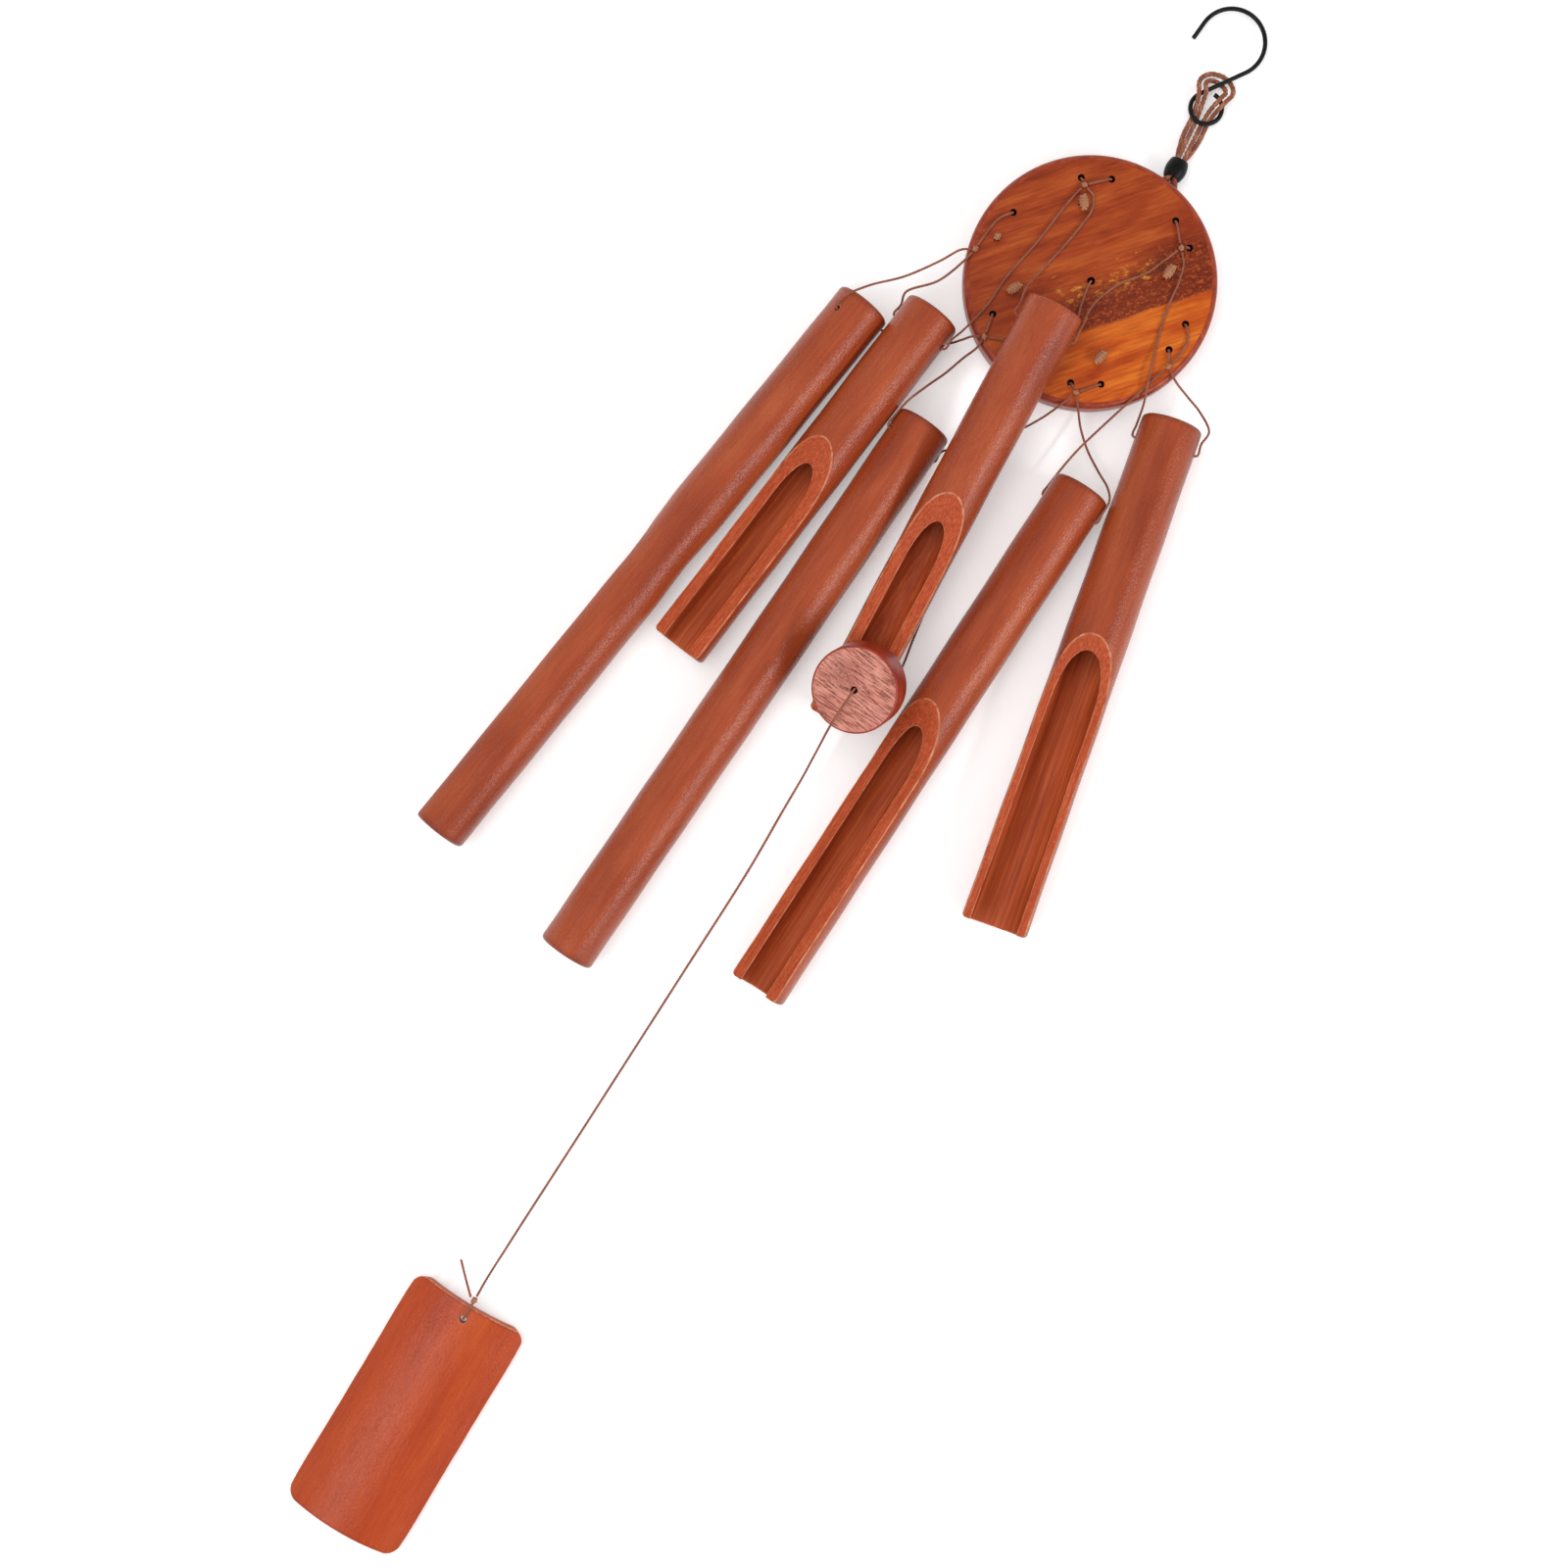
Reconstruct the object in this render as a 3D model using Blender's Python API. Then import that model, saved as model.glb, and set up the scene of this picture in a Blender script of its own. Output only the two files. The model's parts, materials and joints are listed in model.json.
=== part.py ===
"""Bamboo wind chime, laid out flat on a table with the underside of its top disc facing up.

Metres, +Z up off the table, +Y from the wind sail towards the hanging hook.
Everything is laid out around the centre of the top disc, and the finished layout is then
moved so that the origin lies under the middle of the rigid pieces.
"""
import bpy
import bmesh
from collections import namedtuple
from math import asin, atan2, cos, hypot, pi, radians, sin, sqrt
from mathutils import Matrix, Vector

# Clearances
GAP = 0.0003
TUBE_GAP = 0.0006
RIM_GAP = 0.0012

# Top disc, lying on its upper side with a little room under it for the cords
DISC_D = 0.105
DISC_T = 0.012
DISC_EDGE = 0.0025
DISC_LIFT = 0.0034
PAIR_RADIUS = 0.0423
PAIR_SPACING = 0.0125
PAIR_HOLE_D = 0.0030
HANGER_RADIUS = 0.032
HANGER_HOLE_D = 0.0040
CENTRE_HOLE_D = 0.0034
PAIR_ANGLES = {"a": 118, "b": 178, "c": 58, "d": -2, "e": -62, "f": -122}
HANGER_ANGLES = {"1": 127, "2": 37, "3": -53, "4": -143}

# Cords and knots
CORD_D = 0.0011
HANGER_CORD_D = 0.0019
KNOT_WIDTH = 0.0050
KNOT_LENGTH = 0.0073
KNOT_HEIGHT = 0.0042
TIE_D = 0.0030
TIE_HEIGHT = 0.0024
JOIN_KNOT_D = 0.0038
STOP_KNOT_D = 0.0046
STOP_KNOT_HEIGHT = 0.0020
KNOT_SKEW = 35
LOOP_INSET = 0.0010
JOINED_PAIR = "b"

# How a cord turns out of a hole, in cord diameters along and up
LIP_START = 0.6
LIP_END = 2.2
HANGER_LIP_ALONG = 0.4
HANGER_LIP_UP = 0.8

# Where each tie lies from the middle of its hole pair: (clockwise, outward)
TIE_OFFSETS = {
    "a": (-0.0050, -0.0033),
    "b": (-0.0153, 0.0048),
    "c": (0.0049, -0.0034),
    "d": (0.0126, 0.0035),
    "e": (0.0040, 0.0041),
    "f": (-0.0008, 0.0075),
}

# Chime tubes: scoop is where the cut starts below the top, roll leans the slot to the left
Tube = namedtuple("Tube", "length top_d bottom_d wall scoop roll fan")
TUBES = {
    1: Tube(0.2800, 0.0240, 0.0240, 0.0046, 0.1150, 125, -8.1),
    2: Tube(0.1735, 0.0246, 0.0246, 0.0046, 0.0695, 15, -6.5),
    3: Tube(0.1905, 0.0242, 0.0242, 0.0046, 0.0860, 3, 3.0),
    4: Tube(0.2645, 0.0242, 0.0242, 0.0046, 0.1110, 155, -3.2),
    5: Tube(0.2470, 0.0250, 0.0250, 0.0046, 0.1080, 25, -2.0),
    6: Tube(0.2210, 0.0256, 0.0284, 0.0033, 0.0930, 10, 11.4),
}
TUBE_EDGE = 0.0018
SCOOP_RUN = 0.034
SCOOP_HEIGHT = 0.0045
CUP_DEPTH = 0.024
SEPTUM = 0.003
HANG_DROP = 0.010
HANG_HOLE_D = 0.0024

# Layout of the tubes along their neighbours
TUBE_3_TOP_X = -0.0070
TUBE_3_LAP = 0.0314
TUBE_4_DOWN_3 = 0.0633
TUBE_4_DOWN_2 = 0.0420
TUBE_1_DOWN_2 = 0.0179
TUBE_6_CORNER_ANGLE = -36.4
TUBE_6_OFF_RIM = 0.0053
TUBE_5_DOWN_6 = 0.0385

# Striker, lying tilted on tube 3
STRIKER_D = 0.0360
STRIKER_T = 0.0160
STRIKER_EDGE = 0.0008
STRIKER_HOLE_D = 0.0030
STRIKER_TILT = 20
STRIKER_LEAN = 246
STRIKER_X = 0.0030
STRIKER_BACK = 0.0137
STRIKER_GAP = 0.0006

# How far the two cords reach into the striker's hole, as shares of its thickness
STRIKER_CORD_IN = 0.3
SAIL_CORD_IN = 0.5

# Wind sail, a slice of a large culm
SAIL_LENGTH = 0.108
SAIL_WIDTH = 0.053
SAIL_RADIUS = 0.0475
SAIL_T = 0.005
SAIL_CORNER = 0.0060
SAIL_HOLE_D = 0.0030
SAIL_HOLE_INSET = 0.0060
SAIL_X = -0.0015
SAIL_DOWN = 0.2990
SAIL_KNOT_D = 0.0034
SAIL_KNOT_CLEAR = 0.00136
SAIL_KNOT_SINK = 0.0010

# The sail's loop: how far it lies back from the edge and in the hole, as shares of the
# hole's inset and the thickness, and how far it turns round the edge, in cord diameters
LOOP_BACK_OVER = 0.4
LOOP_BACK_UNDER = 0.3
LOOP_IN_HOLE = (0.3, 0.7)
LOOP_PAST_EDGE = 1.2
LOOP_SAG = 0.3

# Hanger bead and wire hook
HANGER_TURN = 84
BEAD_D = 0.0092
BEAD_END_D = 0.0074
BEAD_BORE = 0.0060
BEAD_LENGTH = 0.0080
BEAD_CLEAR = 0.0045
BEAD_PASS = 0.4
RING_FROM_BEAD = 0.0290
RING_TURN = 94.6
WIRE_D = 0.0020
WIRE_Z = 0.0034
RING_RADIUS = 0.0066
RING_START = 141
RING_SPAN = 305
SHANK_LENGTH = 0.0211
HOOK_RADIUS = 0.0140
HOOK_TURN = 210
TIP_LENGTH = 0.0080

# Fineness of the facets
TUBE_SIDES = 24
BORE_SIDES = 20
HOLE_SIDES = 8
DISC_SIDES = 48
STRIKER_SIDES = 32
BEAD_SIDES = 16
BEAD_ROWS = 4
KNOT_SIDES = 8
KNOT_ROWS = 4
SCOOP_STEPS = 6
SAIL_COLUMNS = 10
CORNER_STEPS = 4
HOOK_STEPS = 22
RING_STEPS = 26
SHANK_STEPS = 4

# A cord's points: spacing in diameters, degrees of bend for a point, shortest last step
CORD_STEP = 5.0
BEND_STEP = 32
CURVE_PIECES = 12
LAST_STEP = 0.4

DISC_R = DISC_D / 2
DISC_FACE = DISC_LIFT + DISC_T
ON_FACE = DISC_FACE + GAP + CORD_D / 2
ON_TABLE = GAP / 2 + CORD_D / 2
UNDER_DISC = DISC_LIFT - CORD_D - GAP

Place = namedtuple("Place", "hinge along right frame radius")
Hanger = namedtuple("Hanger", "bead ring right up")


def material(name, colour, roughness, metallic=0.0):
    made = bpy.data.materials.new(name)
    made.use_nodes = True
    shader = made.node_tree.nodes["Principled BSDF"]
    shader.inputs["Base Color"].default_value = (*colour, 1.0)
    shader.inputs["Roughness"].default_value = roughness
    shader.inputs["Metallic"].default_value = metallic
    return made


def polar(radius, degrees, z=0.0):
    turn = radians(degrees)
    return Vector((radius * cos(turn), radius * sin(turn), z))


def clockwise(degrees):
    turn = radians(degrees)
    return Vector((sin(turn), -cos(turn), 0))


def empty(name, at, parent=None):
    made = bpy.data.objects.new(name, None)
    made.empty_display_size = 0.01
    made.location = at
    made.parent = parent
    bpy.context.collection.objects.link(made)
    return made


def add_object(name, data, finish, pivot, at=Vector(), turn=None):
    """Link an object with its origin at a point of the layout, carried by a pivot."""
    made = bpy.data.objects.new(name, data)
    data.materials.append(finish)
    bpy.context.collection.objects.link(made)
    made.parent = pivot
    if turn is not None:
        made.rotation_euler = turn.to_euler()
    made.location = at - carried_offset(pivot)
    return made


def carried_offset(pivot):
    """A pivot's place in the layout; only the root stands for the layout itself."""
    return Vector() if pivot.parent is None else pivot.location.copy()


def turned_mesh(name, profile, sides, ring=False):
    """Turn (radius, z) points about Z: a solid from axis to axis, or a ring."""
    mesh = bpy.data.meshes.new(name)
    work = bmesh.new()
    rows = []
    for radius, z in profile:
        if radius == 0:
            rows.append([work.verts.new((0, 0, z))])
            continue
        step = 2 * pi / sides
        rows.append([work.verts.new((radius * cos(i * step), radius * sin(i * step), z))
                     for i in range(sides)])
    pairs = list(zip(rows, rows[1:]))
    if ring:
        pairs.append((rows[-1], rows[0]))
    for upper, lower in pairs:
        for i in range(sides):
            corners = [upper[i % len(upper)], lower[i % len(lower)],
                       lower[(i + 1) % len(lower)], upper[(i + 1) % len(upper)]]
            work.faces.new(list(dict.fromkeys(corners)))
    bmesh.ops.recalc_face_normals(work, faces=work.faces)
    work.to_mesh(mesh)
    work.free()
    return mesh


def prism_mesh(name, outline, low, high):
    """A closed outline of (y, z) points, extruded along X."""
    mesh = bpy.data.meshes.new(name)
    work = bmesh.new()
    near = [work.verts.new((low, y, z)) for y, z in outline]
    far = [work.verts.new((high, y, z)) for y, z in outline]
    work.faces.new(near)
    work.faces.new(far)
    for i in range(len(outline)):
        j = (i + 1) % len(outline)
        work.faces.new((near[i], near[j], far[j], far[i]))
    bmesh.ops.recalc_face_normals(work, faces=work.faces)
    work.to_mesh(mesh)
    work.free()
    return mesh


def rod_mesh(name, diameter, length, sides, middle=0.0):
    half = length / 2
    radius = diameter / 2
    profile = [(0, middle + half), (radius, middle + half), (radius, middle - half), (0, middle - half)]
    return turned_mesh(name, profile, sides)


def cut(target, cutter_mesh, placing=None):
    """Subtract a mesh, placed in the target's own frame, and keep the result as its mesh."""
    cutter = bpy.data.objects.new("cutter", cutter_mesh)
    bpy.context.collection.objects.link(cutter)
    bpy.context.view_layer.update()
    cutter.matrix_world = target.matrix_world @ (placing or Matrix())
    step = target.modifiers.new("cut", "BOOLEAN")
    step.operation = "DIFFERENCE"
    step.solver = "EXACT"
    step.object = cutter
    ready = target.evaluated_get(bpy.context.evaluated_depsgraph_get())
    result = bpy.data.meshes.new_from_object(ready)
    target.modifiers.clear()
    target.data = result
    bpy.data.objects.remove(cutter)


def smooth(made, sharp=35):
    made.data.shade_smooth()
    made.data.set_sharp_from_angle(angle=radians(sharp))


def rounded(radius, z, edge, up):
    """Three points of a rounded outer edge at height z, from the face to the side."""
    sign = 1 if up else -1
    slant = edge * (1 - sqrt(0.5))
    points = [(radius - edge, z), (radius - slant, z - sign * slant), (radius, z - sign * edge)]
    return points if up else points[::-1]


def smooth_route(points, spacing):
    """Points along a smooth curve through the chosen ones, closer together in the bends."""
    chosen = [Vector(p) for p in points]
    before = chosen[0] * 2 - chosen[1]
    after = chosen[-1] * 2 - chosen[-2]
    chain = [before, *chosen, after]
    fine = []
    for p0, p1, p2, p3 in zip(chain, chain[1:], chain[2:], chain[3:]):
        t1 = (p1 - p0).length ** 0.5
        t2 = t1 + (p2 - p1).length ** 0.5
        t3 = t2 + (p3 - p2).length ** 0.5
        for i in range(CURVE_PIECES):
            t = t1 + (t2 - t1) * i / CURVE_PIECES
            a1 = p0.lerp(p1, t / t1)
            a2 = p1.lerp(p2, (t - t1) / (t2 - t1))
            a3 = p2.lerp(p3, (t - t2) / (t3 - t2))
            b1 = a1.lerp(a2, t / t2)
            b2 = a2.lerp(a3, (t - t1) / (t3 - t1))
            fine.append(b1.lerp(b2, (t - t1) / (t2 - t1)))
    fine.append(chosen[-1])
    kept = [fine[0]]
    due = 0.0
    for last, here, ahead in zip(fine, fine[1:], fine[2:]):
        step = here - last
        due += step.length / spacing + step.angle(ahead - here, 0.0) / radians(BEND_STEP)
        if due >= 1:
            kept.append(here)
            due = 0.0
    if due < LAST_STEP:
        kept.pop()
    return [*kept, fine[-1]]


def tube_along(name, points, diameter, finish, pivot):
    """A round closed tube along points of the layout."""
    line = bpy.data.curves.new(name, "CURVE")
    line.dimensions = "3D"
    line.bevel_depth = diameter / 2
    line.bevel_resolution = 2
    line.use_fill_caps = True
    spline = line.splines.new("POLY")
    spline.points.add(len(points) - 1)
    base = carried_offset(pivot)
    for slot, point in zip(spline.points, points):
        slot.co = (*(Vector(point) - base), 1.0)
        slot.radius = 1.0
    spline.use_smooth = True
    add_object(name, line, finish, pivot, base)


def cord(name, route, finish, pivot, diameter=CORD_D):
    tube_along(name, smooth_route(route, diameter * CORD_STEP), diameter, finish, pivot)


def lump(name, size, at, finish, pivot, heading=0.0):
    """A pulled-tight knot, a soft ellipsoid of the given width, length and height."""
    step = pi / (KNOT_ROWS + 1)
    sides = [(sin(i * step) / 2, cos(i * step) / 2) for i in range(1, KNOT_ROWS + 1)]
    mesh = turned_mesh(name, [(0, 0.5), *sides, (0, -0.5)], KNOT_SIDES)
    mesh.transform(Matrix.Diagonal((*size, 1.0)))
    add_object(name, mesh, finish, pivot, at, Matrix.Rotation(radians(heading), 3, "Z"))
    mesh.shade_smooth()


def pair_centre(letter):
    return polar(PAIR_RADIUS, PAIR_ANGLES[letter])


def pair_holes(letter):
    side = clockwise(PAIR_ANGLES[letter]) * PAIR_SPACING / 2
    return pair_centre(letter) - side, pair_centre(letter) + side


def tie_place(letter):
    round_the_disc, outward = TIE_OFFSETS[letter]
    angle = PAIR_ANGLES[letter]
    flat = pair_centre(letter) + clockwise(angle) * round_the_disc + polar(outward, angle)
    return flat + Vector((0, 0, DISC_FACE + GAP + TIE_HEIGHT / 2))


def from_tie(letter, towards):
    """Where a cord meets a tie, on the side facing its next point."""
    centre = tie_place(letter)
    centre.z = ON_FACE + GAP
    way = Vector(towards) - centre
    way.z = 0
    return centre + way.normalized() * (TIE_D / 2 + GAP)


def hanger_hole(number):
    return polar(HANGER_RADIUS, HANGER_ANGLES[number])


def make_disc(finish, root):
    profile = [(0, DISC_FACE), *rounded(DISC_R, DISC_FACE, DISC_EDGE, True),
               *rounded(DISC_R, DISC_LIFT, DISC_EDGE, False), (0, DISC_LIFT)]
    disc = add_object("top_disc", turned_mesh("top_disc", profile, DISC_SIDES), finish, root)
    holes = [(hole, PAIR_HOLE_D) for letter in PAIR_ANGLES for hole in pair_holes(letter)]
    holes += [(hanger_hole(number), HANGER_HOLE_D) for number in HANGER_ANGLES]
    holes.append((Vector(), CENTRE_HOLE_D))
    for place, diameter in holes:
        rod = rod_mesh("drill", diameter, DISC_T * 3, HOLE_SIDES, DISC_FACE - DISC_T / 2)
        cut(disc, rod, Matrix.Translation(place))
    smooth(disc)


def make_knots(finish, root):
    for number, angle in HANGER_ANGLES.items():
        at = hanger_hole(number) + Vector((0, 0, DISC_FACE + GAP + KNOT_HEIGHT / 2))
        size = (KNOT_WIDTH, KNOT_LENGTH, KNOT_HEIGHT)
        lump("hanger_knot_" + number, size, at, finish, root, angle + KNOT_SKEW)
    for letter in PAIR_ANGLES:
        size = (TIE_D, TIE_D, TIE_HEIGHT)
        lump("tie_" + letter, size, tie_place(letter), finish, root)
    join = pair_holes(JOINED_PAIR)[0] + Vector((0, 0, DISC_FACE + GAP + JOIN_KNOT_D / 2))
    lump("cord_join_knot", (JOIN_KNOT_D,) * 3, join, finish, root)
    stop = Vector((0, 0, DISC_LIFT - GAP - STOP_KNOT_HEIGHT / 2))
    lump("striker_stop_knot", (STOP_KNOT_D, STOP_KNOT_D, STOP_KNOT_HEIGHT), stop, finish, root)


# Bends that lead a pair loop's two ends round to different sides of its tie
LOOP_BENDS = {
    "a": ((), ()),
    "b": ((), ((-0.0458, 0.0020), (-0.0472, -0.0070))),
    "c": ((), ()),
    "d": (((0.0464, 0.0000), (0.0470, -0.0080)), ()),
    "e": ((), ()),
    "f": ((), ()),
}


def loop_side(letter, hole, bends):
    """Half a pair loop: from the tie over the face and down through a hole."""
    bends = [Vector((x, y, ON_FACE)) for x, y in bends]
    mouth = hole + Vector((0, 0, ON_FACE))
    start = from_tie(letter, bends[-1] if bends else mouth)
    inward = (bends[0] if bends else start) - mouth
    inward.z = 0
    lip = mouth + inward.normalized() * CORD_D
    shaft = [hole + Vector((0, 0, DISC_FACE - CORD_D)), hole + Vector((0, 0, DISC_LIFT + CORD_D))]
    return [start, *bends[::-1], lip, *shaft]


def make_pair_loops(finish, root):
    for letter in PAIR_ANGLES:
        first, second = pair_holes(letter)
        bends = LOOP_BENDS[letter]
        stitch = (second - first).normalized() * LOOP_INSET
        under = Vector((0, 0, UNDER_DISC))
        middle = [first + stitch + under, (first + second) / 2 + under, second - stitch + under]
        there = loop_side(letter, first, bends[0])
        back = loop_side(letter, second, bends[1])[::-1]
        if letter == JOINED_PAIR:
            # This end stops in the join knot that sits on its hole
            there = [first + Vector((0, 0, DISC_FACE - GAP)), there[-1]]
        cord("pair_loop_" + letter, [*there, *middle, *back], finish, root)


def tube_radius(tube):
    return max(tube.top_d, tube.bottom_d) / 2


def swing_reach(tube):
    """How far a tube's top corner reaches past its hang holes as it swings."""
    return hypot(HANG_DROP, tube.top_d / 2)


def headings(tube):
    fan = radians(tube.fan)
    return Vector((sin(fan), -cos(fan), 0)), Vector((cos(fan), sin(fan), 0))


def slide_off_disc(top, tube, side):
    """Slide a tube along its axis until its swinging top corner clears the disc's rim."""
    along, right = headings(tube)
    corner = top + right * side * tube.top_d / 2 - along * (swing_reach(tube) - HANG_DROP)
    room = DISC_R + RIM_GAP
    ahead = corner.dot(along)
    off = corner.length_squared - room ** 2
    if off >= 0 and ahead >= 0:
        return top
    return top + along * (sqrt(ahead ** 2 - off) - ahead)


def beside(neighbour, own, top, down, side):
    """A point level with a place down a neighbour, one tube width to its side."""
    along, right = headings(neighbour)
    taper = (neighbour.bottom_d - neighbour.top_d) / neighbour.length
    width = neighbour.top_d + taper * max(down, 0) + own.top_d
    return top + along * down + right * side * (width / 2 + TUBE_GAP)


def lay_tubes():
    """Top centres of the six tubes in the plane of the table."""
    tops = {}
    rim = sqrt(DISC_R ** 2 - TUBE_3_TOP_X ** 2)
    tops[3] = Vector((TUBE_3_TOP_X, TUBE_3_LAP - rim, 0))
    tops[4] = beside(TUBES[3], TUBES[4], tops[3], TUBE_4_DOWN_3, -1)
    second = beside(TUBES[2], TUBES[4], tops[4], -TUBE_4_DOWN_2, -1)
    tops[1] = beside(TUBES[2], TUBES[1], second, TUBE_1_DOWN_2, -1)
    tops[2] = slide_off_disc(second, TUBES[2], 1)
    right = headings(TUBES[6])[1]
    sixth = polar(DISC_R + TUBE_6_OFF_RIM, TUBE_6_CORNER_ANGLE) + right * TUBES[6].top_d / 2
    tops[5] = beside(TUBES[6], TUBES[5], sixth, TUBE_5_DOWN_6, -1)
    tops[6] = slide_off_disc(sixth, TUBES[6], -1)
    return tops


def tube_lift(number):
    """How far a tube's top end is held up: tube 3 lies on the disc, tube 2 on a cord."""
    tube = TUBES[number]
    if number == 3:
        hinge_height = DISC_FACE + CORD_D + 2 * GAP + swing_reach(tube)
        return (hinge_height - tube.bottom_d / 2) * tube.length / (tube.length - HANG_DROP)
    return CORD_D + 2 * GAP if number == 2 else 0.0


def place_tube(number, top):
    """A tube's hinge point, its axes, and its frame with the slot on -Y and the top at +Z."""
    tube = TUBES[number]
    along, right = headings(tube)
    dip = asin(tube_lift(number) / tube.length)
    taper = (tube.bottom_d - tube.top_d) / 2 / tube.length
    slope = dip - taper
    below = tube.length - HANG_DROP
    down = along * cos(slope) - Vector((0, 0, sin(slope)))
    height = tube.bottom_d / 2 * cos(slope) + below * sin(slope)
    hinge = top + along * HANG_DROP * cos(slope) + Vector((0, 0, height))
    frame = Matrix((right, right.cross(down), -down)).transposed()
    return Place(hinge, down, right, frame @ Matrix.Rotation(-radians(tube.roll), 3, "Z"), tube.top_d / 2)


def tube_profile(tube):
    top = HANG_DROP
    foot = HANG_DROP - tube.length
    edge = TUBE_EDGE
    return [(0, top), *rounded(tube.top_d / 2, top, edge, True),
            *rounded(tube.bottom_d / 2, foot, edge, False), (0, foot)]


def scoop_outline(tube):
    """Side outline of the cut: it dips in, levels out and runs off the foot of the tube."""
    start = HANG_DROP - tube.scoop
    outer = tube_radius(tube)
    depth = outer - SCOOP_HEIGHT
    clear = outer * 2
    foot = HANG_DROP - tube.length - tube.wall
    curve = []
    for i in range(SCOOP_STEPS + 1):
        run = i / SCOOP_STEPS
        curve.append((-outer + depth * (1 - (1 - run) ** 2), start - SCOOP_RUN * run))
    lead = (-clear, start + SCOOP_RUN * (clear - outer) / (2 * depth))
    return [lead, *curve, (-SCOOP_HEIGHT, foot), (-clear, foot)]


def make_tube(number, place, finish, root):
    tube = TUBES[number]
    name = "tube_" + str(number)
    pivot = empty(name + "_hinge", place.hinge, root)
    made = add_object(name, turned_mesh(name, tube_profile(tube), TUBE_SIDES), finish, pivot,
                      place.hinge, place.frame)
    bore = tube.top_d - 2 * tube.wall
    foot_bore = tube.bottom_d - 2 * tube.wall
    cup_foot = HANG_DROP - CUP_DEPTH
    septum_foot = cup_foot - SEPTUM
    foot = HANG_DROP - tube.length
    over = tube.wall
    cup = [(0, HANG_DROP + over), (bore / 2, HANG_DROP + over), (bore / 2, cup_foot), (0, cup_foot)]
    cut(made, turned_mesh("cup", cup, BORE_SIDES))
    channel = [(0, septum_foot), (bore / 2, septum_foot), (foot_bore / 2, foot - over), (0, foot - over)]
    cut(made, turned_mesh("channel", channel, BORE_SIDES))
    cut(made, prism_mesh("scoop", scoop_outline(tube), -tube_radius(tube) * 2, tube_radius(tube) * 2))
    drill = rod_mesh("drill", HANG_HOLE_D, tube_radius(tube) * 4, HOLE_SIDES)
    cut(made, drill, Matrix.Rotation(pi / 2, 4, "Y"))
    smooth(made)


# Cord routes from one tie to the left of a tube, and from its right to the other tie
TUBE_TIES = {1: "bf", 2: "ba", 3: "ac", 4: "fe", 5: "de", 6: "cd"}
LEFT_ROUTES = {
    1: ((-0.0525, -0.0165, 0.0155), (-0.0575, -0.0250, 0.0158), (-0.0665, -0.0385, 0.0185),
        (-0.0770, -0.0510, 0.0248)),
    2: ((-0.0490, -0.0195, 0.0158), (-0.0540, -0.0320, 0.0142), (-0.0634, -0.0425, 0.0112)),
    3: ((-0.0175, 0.0305, ON_FACE), (-0.0148, 0.0255, ON_FACE), (-0.0152, 0.0180, ON_FACE),
        (-0.0170, 0.0060, ON_FACE), (-0.0195, -0.0060, 0.0172), (-0.0210, -0.0150, 0.0222),
        (-0.0210, -0.0210, 0.0280)),
    4: ((-0.0262, -0.0475, 0.0145), (-0.0290, -0.0530, 0.0085), (-0.0320, -0.0620, 0.0090),
        (-0.0360, -0.0730, 0.0165), (-0.0392, -0.0820, 0.0188)),
    5: ((0.0430, -0.0215, ON_FACE), (0.0385, -0.0365, 0.0152), (0.0350, -0.0480, 0.0100),
        (0.0312, -0.0620, 0.0072)),
    6: ((0.0290, 0.0255, ON_FACE), (0.0312, 0.0180, ON_FACE), (0.0325, 0.0080, ON_FACE),
        (0.0362, -0.0080, ON_FACE), (0.0412, -0.0235, 0.0182), (0.0445, -0.0320, 0.0158)),
}
RIGHT_ROUTES = {
    1: ((-0.0600, -0.0575, 0.0008), (-0.0500, -0.0545, 0.0008), (-0.0430, -0.0520, 0.0009),
        (-0.0380, -0.0500, 0.0024), (-0.0335, -0.0470, 0.0090), (-0.0302, -0.0447, 0.0152)),
    2: ((-0.0350, -0.0460, 0.0172), (-0.0325, -0.0360, 0.0160), (-0.0312, -0.0280, ON_FACE),
        (-0.0308, -0.0180, ON_FACE), (-0.0270, 0.0040, ON_FACE), (-0.0250, 0.0210, ON_FACE)),
    3: ((0.0062, -0.0185, 0.0285), (0.0056, -0.0125, 0.0205), (0.0064, -0.0055, 0.0168),
        (0.0105, 0.0045, ON_FACE), (0.0180, 0.0145, ON_FACE), (0.0218, 0.0230, ON_FACE)),
    4: ((-0.0090, -0.0840, 0.0064), (0.0000, -0.0755, 0.0070), (0.0075, -0.0650, 0.0090),
        (0.0120, -0.0575, 0.0115), (0.0152, -0.0510, 0.0158)),
    5: ((0.0530, -0.0745, 0.0183), (0.0500, -0.0695, 0.0140), (0.0430, -0.0640, 0.0070),
        (0.0350, -0.0585, 0.0048), (0.0280, -0.0530, 0.0080), (0.0226, -0.0482, 0.0158)),
    6: ((0.0738, -0.0280, 0.0140), (0.0665, -0.0225, 0.0120), (0.0590, -0.0200, 0.0130),
        (0.0515, -0.0180, 0.0164)),
}


def make_tube_cord(number, place, finish, root):
    """One cord from tie to tie, threaded through both hang holes of a tube."""
    left_tie, right_tie = TUBE_TIES[number]
    across = place.frame @ Vector((1, 0, 0))
    if across.dot(place.right) < 0:
        across.negate()
    mouth = place.radius + CORD_D
    inside = place.radius - TUBES[number].wall
    through = [place.hinge + across * reach for reach in (-mouth, -inside, inside, mouth)]
    leave = place.along * -HANG_DROP / 2
    left = [*(Vector(p) for p in LEFT_ROUTES[number]), through[0] + leave]
    right = [through[-1] + leave, *(Vector(p) for p in RIGHT_ROUTES[number])]
    route = [from_tie(left_tie, left[0]), *left, *through, *right, from_tie(right_tie, right[-1])]
    cord("tube_" + str(number) + "_cord", route, finish, root)


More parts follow.
